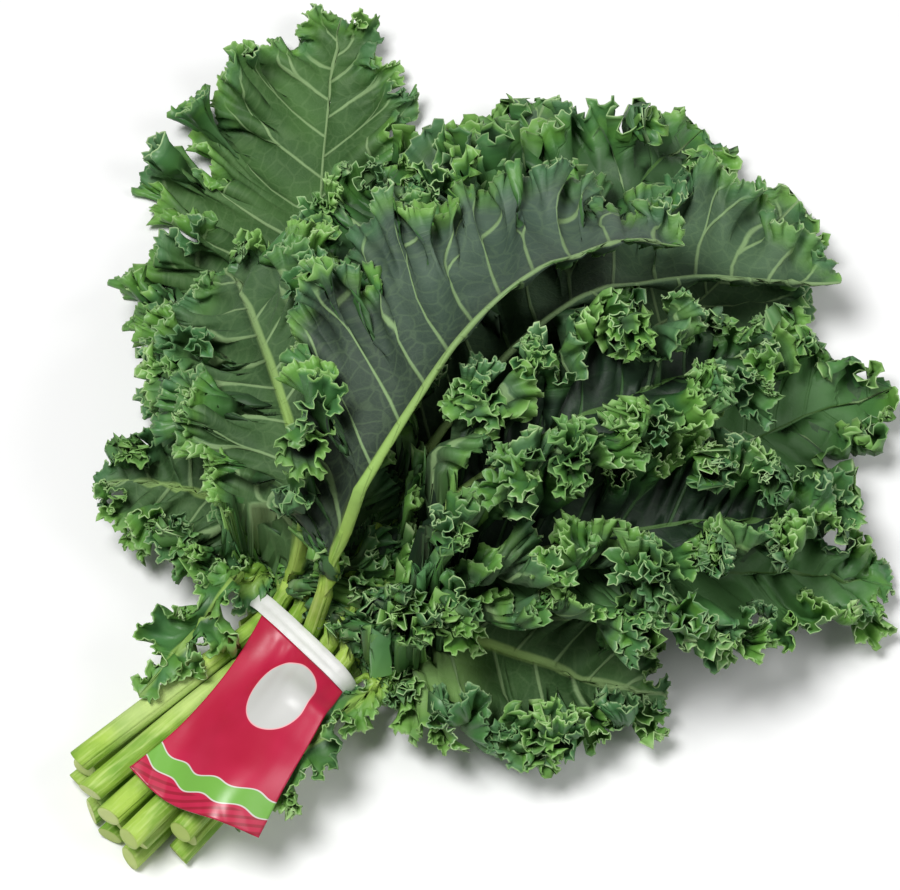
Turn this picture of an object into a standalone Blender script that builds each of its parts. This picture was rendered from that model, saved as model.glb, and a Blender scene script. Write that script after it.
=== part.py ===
"""A bunch of curly kale lying on its side, held by a ribbon tie that carries a label.

Frame: +X runs from the cut stalk ends to the leaf tips, +Y to the left of that, and +Z up from
the table that the bunch lies on. The origin is the middle of the bunch's footprint, on the
table. Each leaf is one closed solid: stalk, midrib and ruffled blade together.
"""

import math
import random
from collections import namedtuple

import bpy
import numpy as np

MM = 0.001

# The stalks in the tie
STEM_WIDTH = 10.6 * MM
STEM_DEPTH = 9.8 * MM
STEM_PITCH_Y = 11.2 * MM
STEM_PITCH_Z = 11.2 * MM
SMALL_STALKS = 6 * MM  # room left in the tie on each side for the two small leaves' stalks
CUT_END_SIZE = 1.2  # of a stalk at its cut end, to its size in the tie
CUT_FLARE_Y = 1.45  # how many times wider the stalks stand at their cut ends than in the tie
CUT_FLARE_Z = 1.12

# The blades
BLADE_THICKNESS = 1.0 * MM
RIB_HALF_WIDTH = 3.2 * MM
LEAST_RIB = 1.6 * MM  # depth of the midrib near the tip
VEIN_ANGLE = math.radians(58)  # at which the side veins leave the midrib
RUFFLE_WAVE = 44 * MM  # length of one ruffle along the leaf's margin
RUFFLE_RISE = 10 * MM
SWELL_WAVE = 118 * MM  # the broad waves that the ruffles ride on
SWELL_RISE = 5 * MM
LOBE_DEPTH = 0.2  # share of a half width that the notches between lobes cut away
RAY_SHARES = (0.5, 0.8, 1.0)  # of the way from midrib to margin, for the outer grid columns
COLUMNS = 1 + len(RAY_SHARES)  # on each side of the midrib

# How the leaves lie on each other
CELL = 2 * MM  # of the height map of what lies below a leaf
BEND_WITHIN = 26 * MM  # a blade bends over what lifts it within this distance
CLEARANCE = 1.4 * MM
MOST_DROP = 40 * MM  # a blade sags by up to this much onto what is below it

# The ribbon tie and its label
TIE_WIDTH = 10 * MM
TIE_THICKNESS = 1.0 * MM
TIE_CORNER = 11.5 * MM
TIE_CROWN = 2.8 * MM  # by which the tie's top bulges, in its middle
WIRE_RISE = 0.35 * MM  # of the two wires sealed in the ribbon, above its face
GAP = 0.4 * MM  # clearance between pieces that touch
LABEL_THICKNESS = 0.7 * MM
LABEL_LEFT = 103 * MM  # its length from the tie, down its left edge
LABEL_RIGHT = 84 * MM
LABEL_NEAR = (22 * MM, -36 * MM)  # y of its left and right corners at the tie
LABEL_FAR = (8 * MM, -64 * MM)
LABEL_HOLLOW = 6 * MM  # by which its left edge curves in
LABEL_BULGE = 7 * MM  # by which its far edge curves out
LABEL_HEIGHT = 39 * MM  # of its crest, before it settles on the stalks
LABEL_CREST = (-6 * MM, 14 * MM)  # y of the crest's middle, and its half width
LABEL_SAG = 0.011 / MM
LABEL_FLARE = 5 * MM  # by which its far left corner stands up
LABEL_BEND_WITHIN = 18 * MM
LABEL_MOST_DROP = 4 * MM

# A leaf's driving values. place is its stalk's place in the tie (row from the table, place from
# the left) and heading the way it fans out from the tie, in degrees to the left of +X, reached
# within turn mm; sweep is its further turn within the blade. stalk is the length from the tie to
# the cut end, blade_from and reach are the distances from the tie, along the midrib, to the
# blade's start and tip, and half_width is the blade's, in mm; lean is the share by which the
# left half is wider, and the right one narrower. climb and droop are the midrib's slopes near
# the tie and at the tip, fold the angles at which the left and right halves leave the midrib and
# curl how far they bend on from there, in degrees. back_up is true where the blade's underside
# faces up. The leaves are in the order in which they lie on each other.
Leaf = namedtuple(
    "Leaf",
    "name place heading turn sweep stalk blade_from reach half_width lean climb droop fold curl"
    " back_up rows seed",
)
LEAVES = [
    Leaf("leaf_01", (0, 0), 66, 60, 44, 126, 34, 184, 50, 0, 3, -3, (10, 8), (8, 6), True, 26, 1),
    Leaf("leaf_02", (0, 1), 53, 75, -20, 131, 62, 380, 88, 0.2, 3, 2, (6, 8), (4, 8), True, 36, 2),
    Leaf("leaf_03", (0, 2), 26, 75, 2, 133, 78, 354, 70, 0, 3, 2, (8, 8), (6, 6), True, 32, 3),
    Leaf("leaf_04", (0, 3), 3, 75, -3, 134, 78, 372, 78, 0, 3, 2, (8, 8), (6, 6), True, 34, 4),
    Leaf("leaf_05", (0, 4), -16, 75, -3, 116, 66, 338, 76, 0, 3, 2, (10, 6), (6, 6), False, 32, 5),
    Leaf("leaf_06", (1, 0), 96, 55, 56, 120, 24, 156, 46, 0, 8, -6, (14, 10), (10, 6), True, 24, 6),
    Leaf("leaf_07", (1, 1), 10, 75, -2, 126, 80, 368, 74, 0, 6, 0, (10, 10), (6, 6), False, 30, 7),
    Leaf("leaf_08", (1, 4), -62, 58, 14, 108, 18, 178, 54, -0.1, 6, -6, (8, -20), (6, -8), True, 28, 8),
    Leaf("leaf_09", (1, 3), -40, 75, -4, 128, 62, 304, 64, 0, 5, 0, (18, 12), (8, 8), False, 32, 9),
    Leaf("leaf_10", (1, 2), 10, 75, -64, 128, 90, 352, 66, 0.3, 10, -4, (0, -50), (-6, -30), True, 36, 10),
    Leaf("leaf_11", (2, 4), -32, 70, -4, 112, 30, 268, 54, 0, 6, 2, (40, 40), (8, 8), False, 32, 11),
    Leaf("leaf_12", (2, 3), -14, 70, 0, 132, 34, 276, 52, 0, 7, 2, (36, 36), (6, 6), False, 32, 12),
    Leaf("leaf_13", (2, 1), 36, 70, 6, 129, 34, 246, 54, 0, 8, -4, (12, 8), (6, 6), False, 32, 13),
    Leaf("leaf_14", (2, 0), 60, 60, 8, 122, 33, 196, 56, 0, 10, -10, (0, 4), (-14, 6), True, 30, 34),
    Leaf("leaf_15", (2, 2), 14, 75, -54, 131, 50, 268, 60, 0.46, 18, -8, (-6, -90), (-8, -20), True, 36, 15),
    Leaf("leaf_16", (1, -0.77), 186, 30, 0, 12, 34, 114, 17, 0, 0, 0, (6, 6), (4, 4), False, 12, 16),
    Leaf("leaf_17", (1, 4.77), -176, 30, 0, 12, 46, 128, 16, 0, 0, 0, (6, 6), (4, 4), False, 12, 17),
]


def ramp(value, low, high):
    """Smooth step from 0 at low to 1 at high."""
    t = np.clip((np.asarray(value, float) - low) / (high - low), 0, 1)
    return t * t * (3 - 2 * t)


class Wave:
    """A seeded, smooth, irregular wave along a leaf's margin, continuous round its tip."""

    def __init__(self, draw, length):
        self.length = length
        self.start = draw.uniform(0, 2 * math.pi)
        self.wander = [(draw.uniform(2.2, 4.5), draw.uniform(0, 2 * math.pi)) for _ in range(3)]
        self.beat = [(draw.uniform(1.6, 3.4), draw.uniform(0, 2 * math.pi)) for _ in range(2)]

    def phase(self, along):
        turns = 2 * math.pi * along / self.length
        return self.start + turns + sum(0.7 * np.sin(turns / n + p) for n, p in self.wander)

    def rise(self, along):
        turns = 2 * math.pi * along / self.length
        size = 1 + sum(0.2 * np.sin(turns / n + p) for n, p in self.beat)
        return size * np.sin(self.phase(along))

    def push(self, along):
        """Sideways shift that fattens each crest, as in a frill."""
        return np.sin(2 * self.phase(along))


class Shape:
    """The surface of one leaf, before it settles on those below it."""

    def __init__(self, leaf):
        self.leaf = leaf
        self.side_length = (leaf.reach - leaf.blade_from) * MM
        self.half_width = leaf.half_width * MM
        self.size = min(1, 0.1 + leaf.half_width / 52)  # next to a full-grown leaf
        draw = random.Random(leaf.seed)
        self.ruffle = Wave(draw, RUFFLE_WAVE * draw.uniform(0.9, 1.15))
        self.swell = Wave(draw, SWELL_WAVE * draw.uniform(0.9, 1.15))
        self.lobes = Wave(draw, RUFFLE_WAVE * draw.uniform(0.9, 1.1))
        self.trace_midrib()
        self.trace_margin()

    def trace_midrib(self):
        """Integrates the midrib's heading and slope both ways from the tie."""
        leaf = self.leaf
        step = 1 * MM
        row, place = leaf.place
        tie_y = (2 - place) * STEM_PITCH_Y
        tie_z = TIE_THICKNESS + GAP + STEM_DEPTH / 2 + row * STEM_PITCH_Z
        reach = leaf.reach * MM
        turn = leaf.turn * MM
        ahead = np.arange(0, reach + 30 * MM, step)
        heading = math.radians(leaf.heading) * ramp(ahead, 6 * MM, turn)
        heading = heading + math.radians(leaf.sweep) * np.clip((ahead - turn / 2) / reach, 0, 2) ** 1.5
        climb, droop = math.radians(leaf.climb), math.radians(leaf.droop)
        slope = (climb + (droop - climb) * ramp(ahead, turn * 0.6, reach)) * ramp(ahead, -10 * MM, 34 * MM)
        stalk = leaf.stalk * MM
        behind = np.arange(step, stalk + step, step)
        back_heading = -math.atan(tie_y * (CUT_FLARE_Y - 1) / stalk) * ramp(behind, 0, 30 * MM)
        back_slope = -math.atan(tie_z * (CUT_FLARE_Z - 1) / stalk) * ramp(behind, 0, 30 * MM) * (row > 0)
        self.s = np.concatenate([-behind[::-1], ahead])
        self.heading = np.concatenate([back_heading[::-1], heading])
        self.slope = np.concatenate([back_slope[::-1], slope])
        level = np.cos(self.slope)
        way = [np.cos(self.heading) * level, np.sin(self.heading) * level, np.sin(self.slope)]
        line = np.cumsum(np.stack(way, 1), 0) * step
        line -= line[len(behind)]
        self.line = line + (0, tie_y, tie_z)

    def at(self, s):
        """Midrib point and frame (along, left, up) at distance s from the tie."""
        pick = [np.interp(s, self.s, v) for v in (*self.line.T, self.heading, self.slope)]
        x, y, z, heading, slope = pick
        level = np.cos(slope)
        along = np.stack([np.cos(heading) * level, np.sin(heading) * level, np.sin(slope)], -1)
        left = np.stack([-np.sin(heading), np.cos(heading), np.zeros_like(heading)], -1)
        return np.stack([x, y, z], -1), along, left, np.cross(along, left)

    def trace_margin(self):
        """The flat outline of one half, by share of its margin's length: x, y and the midrib foot."""
        t = np.linspace(0, 1, 801)
        width = (0.14 + 0.86 * np.sin(np.pi * np.clip(t / 1.16, 0, 1) ** 1.05)) * np.sqrt(1 - t**6)
        width[-1] = 0
        x = self.leaf.blade_from * MM + self.side_length * t
        y = self.half_width * width * ramp(t, -0.12, 0.06)
        far = np.concatenate([[0], np.cumsum(np.hypot(np.diff(x), np.diff(y)))])
        foot = np.maximum(x - y / math.tan(VEIN_ANGLE), x[0] + 0.3 * (x - x[0]))
        self.margin = far, x, y, foot
        self.margin_length = far[-1]

    def surface(self, u, share, side):
        """The blade at margin share u (0 base, 1 tip) and ray share, on one side of the midrib.

        Gives points, the normals there before ruffling, and how far along the midrib they lie.
        """
        leaf = self.leaf
        far, xs, ys, feet = self.margin
        from_base = u * self.margin_length
        x_edge, y_edge, foot = (np.interp(from_base, far, v) for v in (xs, ys, feet))
        along = side * (self.margin_length - from_base)
        notch = LOBE_DEPTH * (0.5 - 0.5 * self.lobes.rise(along)) ** 2 * ramp(u, 0.03, 0.2)
        outward = share * (1 - notch * ramp(share, 0.3, 1))
        ends = ramp(u, 0.0, 0.22)
        x = foot + outward * (x_edge - foot)
        lean = leaf.lean * ramp(x, leaf.blade_from * MM, 0.5 * leaf.reach * MM)
        y = outward * y_edge * (1 + side * lean)
        middle, forward, left, up = self.at(x)
        fold_angle, curl_angle = (pair[0 if side > 0 else 1] for pair in (leaf.fold, leaf.curl))
        ease = 1 - 0.45 * ramp(x, leaf.blade_from * MM, leaf.reach * MM)
        first = math.radians(fold_angle) * ease * ramp(y, -RIB_HALF_WIDTH, 3 * RIB_HALF_WIDTH)
        bend = math.radians(curl_angle) / self.half_width
        mean_angle = first + bend * y / 2
        angle = first + bend * y
        reach_out = (y * np.cos(mean_angle))[..., None]
        reach_up = (y * np.sin(mean_angle))[..., None]
        point = middle + side * reach_out * left + reach_up * up
        normal = np.cos(angle)[..., None] * up - side * np.sin(angle)[..., None] * left
        frill = np.clip((share - 0.25) / 0.75, 0, 1) ** 1.5 * ends
        rise = RUFFLE_RISE * self.size * frill * self.ruffle.rise(along)
        rise = rise + SWELL_RISE * self.size * share**1.2 * ends * self.swell.rise(along)
        shift = 0.28 * RUFFLE_RISE * self.size * frill * self.ruffle.push(along)
        return point + rise[..., None] * normal + side * shift[..., None] * forward, normal, x


def leaf_grid(shape):
    """A leaf's mid points on a grid of rows by columns, the offsets from there to its upper and
    lower faces, each point's distance along the midrib, and the number of rows in the stalk.

    Columns run from the right margin over the midrib to the left one, rows from the cut end to
    the tip. The blade's outer columns have a point in every row, the inner ones in every other.
    """
    leaf = shape.leaf
    columns = np.arange(-COLUMNS, COLUMNS + 1)
    start = leaf.blade_from * MM
    clear = TIE_WIDTH / 2 + 2 * MM  # the stalk is straight until it is out of the tie
    behind = np.linspace(shape.s[0], -16 * MM, 3)
    stalk_s = np.concatenate([behind, [clear, clear + (start - clear) / 2]])
    blade_u = np.linspace(0, 1, leaf.rows + 1)
    far, xs, ys, feet = shape.margin
    foot = np.interp(blade_u * shape.margin_length, far, feet)
    row_s = np.concatenate([stalk_s, foot])
    cut_end = 1 + (CUT_END_SIZE - 1) * ramp(-row_s, 10 * MM, 80 * MM)
    size = shape.size * cut_end * (1 - 0.86 * ramp(row_s, -40 * MM, leaf.reach * MM) ** 0.8)
    middle, forward, left, up = shape.at(row_s)
    count = len(row_s)
    mid = np.zeros((count, len(columns), 3))
    over = np.zeros_like(mid)
    under = np.zeros_like(mid)
    distance = np.repeat(row_s[:, None], len(columns), 1)
    merge = min(34 * MM, 0.3 * shape.side_length)  # length over which the stalk flattens
    for i, k in enumerate(columns):
        side = 1 if k >= 0 else -1
        turn = math.pi / 2 * abs(k) / COLUMNS
        half_y = side * STEM_WIDTH / 2 * size * math.sin(turn)
        half_z = np.maximum(STEM_DEPTH / 2 * size * math.cos(turn), BLADE_THICKNESS / 2)
        stem_mid = middle + half_y[:, None] * left
        mid[:, i], over[:, i], under[:, i] = stem_mid, half_z[:, None] * up, -half_z[:, None] * up
        far_y = np.interp(blade_u * shape.margin_length, far, ys)
        if k == 0:
            share = np.zeros(leaf.rows + 1)
        elif abs(k) == 1:
            share = np.minimum(0.3, RIB_HALF_WIDTH / np.maximum(far_y, 6 * MM))
        else:
            share = np.full(leaf.rows + 1, RAY_SHARES[abs(k) - 2])
        point, normal, x = shape.surface(blade_u, share, side)
        thick = np.full(leaf.rows + 1, BLADE_THICKNESS / 2)
        ridge = np.maximum(LEAST_RIB, STEM_DEPTH * 0.75 * size[-len(foot) :]) if k == 0 else thick
        above, below = (ridge, thick) if leaf.back_up else (thick, ridge)
        rows = slice(len(stalk_s), None)
        distance[rows, i] = x
        b = ramp(x, start - 1 * MM, start + merge * (1 - 0.2 * abs(k)))[:, None]
        mid[rows, i] = (1 - b) * mid[rows, i] + b * point
        over[rows, i] = (1 - b) * over[rows, i] + b * above[:, None] * normal
        under[rows, i] = (1 - b) * under[rows, i] - b * below[:, None] * normal
    for k in range(1, COLUMNS + 1):  # left and right rays meet at the tip
        both = (COLUMNS + k, COLUMNS - k)
        mid[-1, both] = mid[-1, both].mean(0)
    return mid, over, under, distance, len(stalk_s)


def grid_faces(rows, stalk_rows):
    """Triangles over the grid, as (row, column) corners, seen from above."""
    faces = []
    for k in range(2 * COLUMNS):
        inner_left, inner_right = abs(k - COLUMNS), abs(k + 1 - COLUMNS)
        fine = [n >= COLUMNS - 1 for n in (inner_left, inner_right)]
        r = 0
        while r < rows - 1:
            in_blade = r >= stalk_rows
            if not in_blade or all(fine):
                faces += [((r, k), (r + 1, k), (r + 1, k + 1)), ((r, k), (r + 1, k + 1), (r, k + 1))]
                r += 1
                continue
            near = [(n, k) for n in (r, r + 1, r + 2)]
            far = [(n, k + 1) for n in (r, r + 1, r + 2)]
            if fine[0]:
                faces += [(near[0], near[1], far[0]), (near[1], far[2], far[0]), (near[1], near[2], far[2])]
            elif fine[1]:
                faces += [(near[0], far[1], far[0]), (near[0], near[2], far[1]), (near[2], far[2], far[1])]
            else:
                faces += [(near[0], near[2], far[2]), (near[0], far[2], far[0])]
            r += 2
    return faces


def vertex_normals(mid, faces):
    """Unit normals of the mid surface at the grid's points."""
    corners = np.array(faces)
    a, b, c = (mid[corners[:, n, 0], corners[:, n, 1]] for n in range(3))
    face_normal = np.cross(b - a, c - a)
    total = np.zeros_like(mid)
    for n in range(3):
        np.add.at(total, (corners[:, n, 0], corners[:, n, 1]), face_normal)
    for k in range(1, COLUMNS + 1):
        both = (COLUMNS + k, COLUMNS - k)
        total[-1, both] = total[-1, both].sum(0)
    size = np.linalg.norm(total, axis=2, keepdims=True)
    return total / np.maximum(size, 1e-12)


class HeightMap:
    """Height of what has been laid down so far, on a grid of cells over the table."""

    def __init__(self):
        self.low = np.array([-0.2, -0.35])
        self.cells = np.array([350, 350])
        self.top = np.zeros(self.cells)

    def samples(self, points, faces, parts=10):
        a, b, c = (points[faces[:, n]] for n in range(3))
        weights = [(i / parts, j / parts) for i in range(parts + 1) for j in range(parts + 1 - i)]
        u, v = np.array(weights).T
        spots = (
            a[:, None] * (1 - u - v)[None, :, None]
            + b[:, None] * u[None, :, None]
            + c[:, None] * v[None, :, None]
        )
        cell = np.clip(((spots[..., :2] - self.low) / CELL).astype(int), 0, self.cells - 1)
        return spots, cell

    def add(self, points, faces):
        spots, cell = self.samples(points, faces)
        top = np.zeros(self.cells)
        np.maximum.at(top, (cell[..., 0], cell[..., 1]), spots[..., 2])
        for _ in range(2):  # each pass spreads the heights by one cell on every side
            shifted = [np.roll(top, (dx, dy), (0, 1)) for dx in (-1, 0, 1) for dy in (-1, 0, 1)]
            top = np.max(shifted, 0)
        self.top = np.maximum(self.top, top)

    def need(self, points, faces):
        """For each point, the lift that clears the map below every triangle at that point."""
        spots, cell = self.samples(points, faces)
        floor = self.top[cell[..., 0], cell[..., 1]]
        clear = np.where(floor > 0, CLEARANCE, 0)
        short = (floor + clear - spots[..., 2]).max(1)
        need = np.full(len(points), -1.0)
        for n in range(3):
            np.maximum.at(need, faces[:, n], short)
        return need


def lie_on(table, points, faces, free, bend_within=BEND_WITHIN):
    """The lifts (or drops) with which points clear what is below, bending smoothly.

    free is the share of its lift that each point may take.
    """
    used = np.unique(faces)
    need = np.maximum(table.need(points, faces)[used], -MOST_DROP)
    spot = points[used, :2]
    apart = np.linalg.norm(spot[:, None] - spot[None], axis=2)
    near = apart < bend_within
    most = np.where(near, need[None], -1).max(1)
    weight = np.where(near, (1 - (apart / bend_within) ** 2) ** 2, 0)
    lift = np.zeros(len(points))
    lift[used] = (weight * most[None]).sum(1) / weight.sum(1)
    return lift * free


def closed_mesh(name, points, faces, material):
    mesh = bpy.data.meshes.new(name)
    mesh.from_pydata([tuple(p) for p in points], [], faces)
    mesh.materials.append(material)
    mesh.shade_smooth()
    mesh.set_sharp_from_angle(angle=math.radians(50))
    made = bpy.data.objects.new(name, mesh)
    bpy.context.scene.collection.objects.link(made)
    return made


def leaf_mesh(name, upper, lower, faces, material):
    """A closed mesh from the upper and lower faces of a leaf's grid."""
    rows, columns = upper.shape[:2]
    last = 2 * COLUMNS
    used = sorted({corner for face in faces for corner in face})
    number = {}
    points = []
    for corner in used:
        r, k = corner
        if r == rows - 1 and k < COLUMNS:  # the right half's tip ray is the left half's
            continue
        number[corner] = len(points)
        points += [upper[corner], lower[corner]]
    for corner in used:
        if corner not in number:
            number[corner] = number[(corner[0], last - corner[1])]
    solid = []
    for a, b, c in faces:
        i, j, k = number[a], number[b], number[c]
        if len({i, j, k}) == 3:
            solid += [(i, j, k), (i + 1, k + 1, j + 1)]
    for k in (0, last):
        for r in range(rows - 1):
            i, j = number[(r, k)], number[(r + 1, k)]
            solid.append((i, j, j + 1, i + 1) if k else (j, i, i + 1, j + 1))
    cap = [number[(0, k)] for k in range(columns)]
    solid.append(cap + [n + 1 for n in reversed(cap)])
    return closed_mesh(name, points, solid, material)


def finish(name, colour, roughness):
    material = bpy.data.materials.new(name)
    material.use_nodes = True
    surface = material.node_tree.nodes["Principled BSDF"]
    surface.inputs["Base Color"].default_value = (*colour, 1)
    surface.inputs["Roughness"].default_value = roughness
    return material


def lay_leaf(leaf, table, material):
    """Makes one leaf, bent clear of what lies on the table, and adds it to the table."""
    shape = Shape(leaf)
    mid, over, under, distance, stalk_rows = leaf_grid(shape)
    faces = grid_faces(len(mid), stalk_rows)
    normals = vertex_normals(mid, faces)
    rows = slice(stalk_rows + 4, None)
    for offset, way in ((over, 1), (under, -1)):
        size = np.linalg.norm(offset[rows], axis=2, keepdims=True)
        offset[rows] = way * normals[rows] * size
    index = np.arange(mid.shape[0] * mid.shape[1]).reshape(mid.shape[:2])
    flat_faces = index[tuple(np.array(faces).transpose(2, 0, 1))]
    lowest = np.minimum(over[..., 2], under[..., 2])
    points = np.concatenate([mid[..., :2], (mid[..., 2] + lowest)[..., None]], 2).reshape(-1, 3)
    first = (14 - 3.5 * leaf.place[0]) * MM
    free = ramp(distance, first, first + 35 * MM).ravel()
    lift = lie_on(table, points, flat_faces, free)
    mid[..., 2] += lift.reshape(mid.shape[:2])
    highest = mid[..., 2] + np.maximum(over[..., 2], under[..., 2])
    table.add(np.concatenate([mid[..., :2], highest[..., None]], 2).reshape(-1, 3), flat_faces)
    return leaf_mesh(leaf.name, mid + over, mid + under, faces, material)


def tie_outline(inset):
    """The ribbon's loop round the stalks as (y, z) points and their outward directions."""
    half = 2 * STEM_PITCH_Y + STEM_WIDTH / 2 + SMALL_STALKS + GAP + TIE_THICKNESS
    top = 2 * STEM_PITCH_Z + STEM_DEPTH + 2 * GAP + 2 * TIE_THICKNESS
    radius = TIE_CORNER - inset
    shoulder = 0.43 * TIE_CROWN
    points, ways = [], []
    for side, upper, start in ((1, False, -90), (1, True, 0), (-1, True, 90), (-1, False, 180)):
        y, z = side * (half - TIE_CORNER), top - TIE_CORNER if upper else TIE_CORNER
        for degrees in range(start, start + 91, 15):
            way = math.cos(math.radians(degrees)), math.sin(math.radians(degrees))
            rise = shoulder * way[1] if upper else 0
            points.append((y + radius * way[0], z + radius * way[1] + rise))
            ways.append(way)
        if side > 0 and upper:
            for share in (0.5, 0, -0.5):
                bulge = shoulder + (TIE_CROWN - shoulder) * (1 - share**2)
                points.append((share * (half - TIE_CORNER), top - inset + bulge))
                ways.append((0, 1))
    return points, ways


def make_tie(material):
    """One closed ribbon with two wires sealed in it, which show as ridges."""
    half = TIE_WIDTH / 2
    profile = [(-half, 0, 0), (-0.66 * half, 0, 0), (-0.5 * half, 1, 0), (-0.34 * half, 0, 0)]
    profile = profile + [(-x, rise, 0) for x, rise, _ in reversed(profile)]
    profile = profile + [(half, 0, 1), (-half, 0, 1)]
    outer, ways = tie_outline(0)
    inner, _ = tie_outline(TIE_THICKNESS)
    points = []
    for (oy, oz), (iy, iz), (wy, wz) in zip(outer, inner, ways):
        ridge = WIRE_RISE * float(ramp(oz, 2 * MM, 8 * MM))
        for x, rise, inside in profile:
            y, z = (iy, iz) if inside else (oy + wy * rise * ridge, oz + wz * rise * ridge)
            points.append((x, y, z))
    count, around = len(outer), len(profile)
    faces = []
    for n in range(count):
        for m in range(around):
            a, b = n * around + m, n * around + (m + 1) % around
            c, d = (n + 1) % count * around + (m + 1) % around, (n + 1) % count * around + m
            faces.append((a, d, c, b))
    return closed_mesh("tie_band", points, faces, material)


def label_grid(down, across):
    """The label's mid points, from its edge at the tie down, and from its right edge to its left."""
    grid = np.zeros((down, across, 3))
    near = TIE_WIDTH / 2 + GAP
    for i, v in enumerate(np.linspace(0, 1, down)):
        left_y, right_y = (a + (b - a) * v for a, b in zip(LABEL_NEAR, LABEL_FAR))
        left = np.array([-near - LABEL_LEFT * v, left_y - 4 * LABEL_HOLLOW * v * (1 - v)])
        right = np.array([-near - LABEL_RIGHT * v, right_y])
        for j, u in enumerate(np.linspace(0, 1, across)):
            spot = right + (left - right) * u
            spot[0] -= LABEL_BULGE * v * math.sin(math.pi * u)
            off_crest = max(0, abs(spot[1] - LABEL_CREST[0]) - LABEL_CREST[1])
            sag = LABEL_SAG * off_crest**2 * (1 - 0.3 * v)
            grid[i, j] = (*spot, LABEL_HEIGHT - sag + LABEL_FLARE * (u * v) ** 3)
    return grid


def make_label(table, material):
    """A sheet caught in the tie, lying on the stalks and flaring at its far left corner."""
    down, across = 11, 13
    points = label_grid(down, across).reshape(-1, 3)
    index = np.arange(down * across).reshape(down, across)
    a, b, c, d = index[1:, :-1], index[:-1, :-1], index[:-1, 1:], index[1:, 1:]
    faces = np.concatenate([np.stack([a, b, c], -1), np.stack([a, c, d], -1)]).reshape(-1, 3)
    low = points - (0, 0, LABEL_THICKNESS / 2)
    near = TIE_WIDTH / 2 + GAP
    free = ramp(-points[:, 0], near, near + 20 * MM)
    lift = lie_on(table, low, faces, free, LABEL_BEND_WITHIN)
    points[:, 2] += np.maximum(lift, -LABEL_MOST_DROP)
    corners = points[faces]
    face_normal = np.cross(corners[:, 1] - corners[:, 0], corners[:, 2] - corners[:, 0])
    normal = np.zeros_like(points)
    for n in range(3):
        np.add.at(normal, faces[:, n], face_normal)
    normal *= LABEL_THICKNESS / 2 / np.linalg.norm(normal, axis=1, keepdims=True)
    count = len(points)
    solid = [tuple(f) for f in faces.tolist()]
    solid += [tuple(n + count for n in reversed(f)) for f in faces.tolist()]
    rim = [*index[0, ::-1], *index[1:, 0], *index[-1, 1:], *index[-2:0:-1, -1]]
    rim = [int(n) for n in rim]
    for p, q in zip(rim, rim[1:] + rim[:1]):
        solid.append((p, q, q + count, p + count))
    return closed_mesh("label", np.concatenate([points + normal, points - normal]), solid, material)


def main():
    for obj in list(bpy.data.objects):
        bpy.data.objects.remove(obj)
    green = finish("kale", (0.06, 0.16, 0.035), 0.5)
    table = HeightMap()
    made = [lay_leaf(leaf, table, green) for leaf in LEAVES]
    made.append(make_tie(finish("tie_ribbon", (0.8, 0.8, 0.8), 0.4)))
    made.append(make_label(table, finish("label_film", (0.5, 0.01, 0.03), 0.35)))
    low = np.min([np.min([v.co for v in obj.data.vertices], 0) for obj in made], 0)
    high = np.max([np.max([v.co for v in obj.data.vertices], 0) for obj in made], 0)
    shift = np.array([-(low[0] + high[0]) / 2, -(low[1] + high[1]) / 2, -low[2]])
    for obj in made:
        for vertex in obj.data.vertices:
            vertex.co = np.array(vertex.co) + shift


main()
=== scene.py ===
"""The finished looks of a bunch of curly kale, held by a ribbon tie that has a label caught in it.

Lengths are in metres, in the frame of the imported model: +X from the cut stalk ends to the leaf
tips, +Z up from the table. Each leaf is grown here again from the values that its solid was made
from, at a much finer grain: four orders of ruffles, blades that bulge between their side veins,
and ribs that thicken into stalks with a slanting cut.
"""

import math
import random
from collections import namedtuple

import bpy
import numpy as np
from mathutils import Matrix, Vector


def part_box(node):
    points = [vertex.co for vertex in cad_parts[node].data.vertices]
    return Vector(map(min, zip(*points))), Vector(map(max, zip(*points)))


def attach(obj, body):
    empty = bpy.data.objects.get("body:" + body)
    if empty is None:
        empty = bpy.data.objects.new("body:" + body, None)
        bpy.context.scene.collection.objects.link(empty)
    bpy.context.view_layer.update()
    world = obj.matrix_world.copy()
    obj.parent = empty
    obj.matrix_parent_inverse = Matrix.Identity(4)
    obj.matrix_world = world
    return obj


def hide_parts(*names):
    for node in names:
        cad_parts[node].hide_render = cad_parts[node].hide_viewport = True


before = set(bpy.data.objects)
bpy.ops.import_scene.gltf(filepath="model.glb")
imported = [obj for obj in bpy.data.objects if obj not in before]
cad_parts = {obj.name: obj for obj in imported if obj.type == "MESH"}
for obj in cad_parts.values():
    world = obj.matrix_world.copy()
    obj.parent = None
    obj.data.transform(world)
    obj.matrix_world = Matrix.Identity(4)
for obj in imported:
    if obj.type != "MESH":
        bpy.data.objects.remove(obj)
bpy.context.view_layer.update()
MM = 0.001

# ---- How the leaves grow and lie ---------------------------------------------------------------
# The real leaves are one living sheet each: a round stalk that flattens into a midrib, with a
# blade on both sides that grows faster at its margin than inside, and so buckles into ruffles.
# They lie across each other, so each is bent clear of those below it, as its solid is.

tie_low, tie_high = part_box("tie_band")
PLACE = np.array([(tie_low.x + tie_high.x) / 2, (tie_low.y + tie_high.y) / 2, tie_low.z])
TURN = 2 * math.pi

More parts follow.
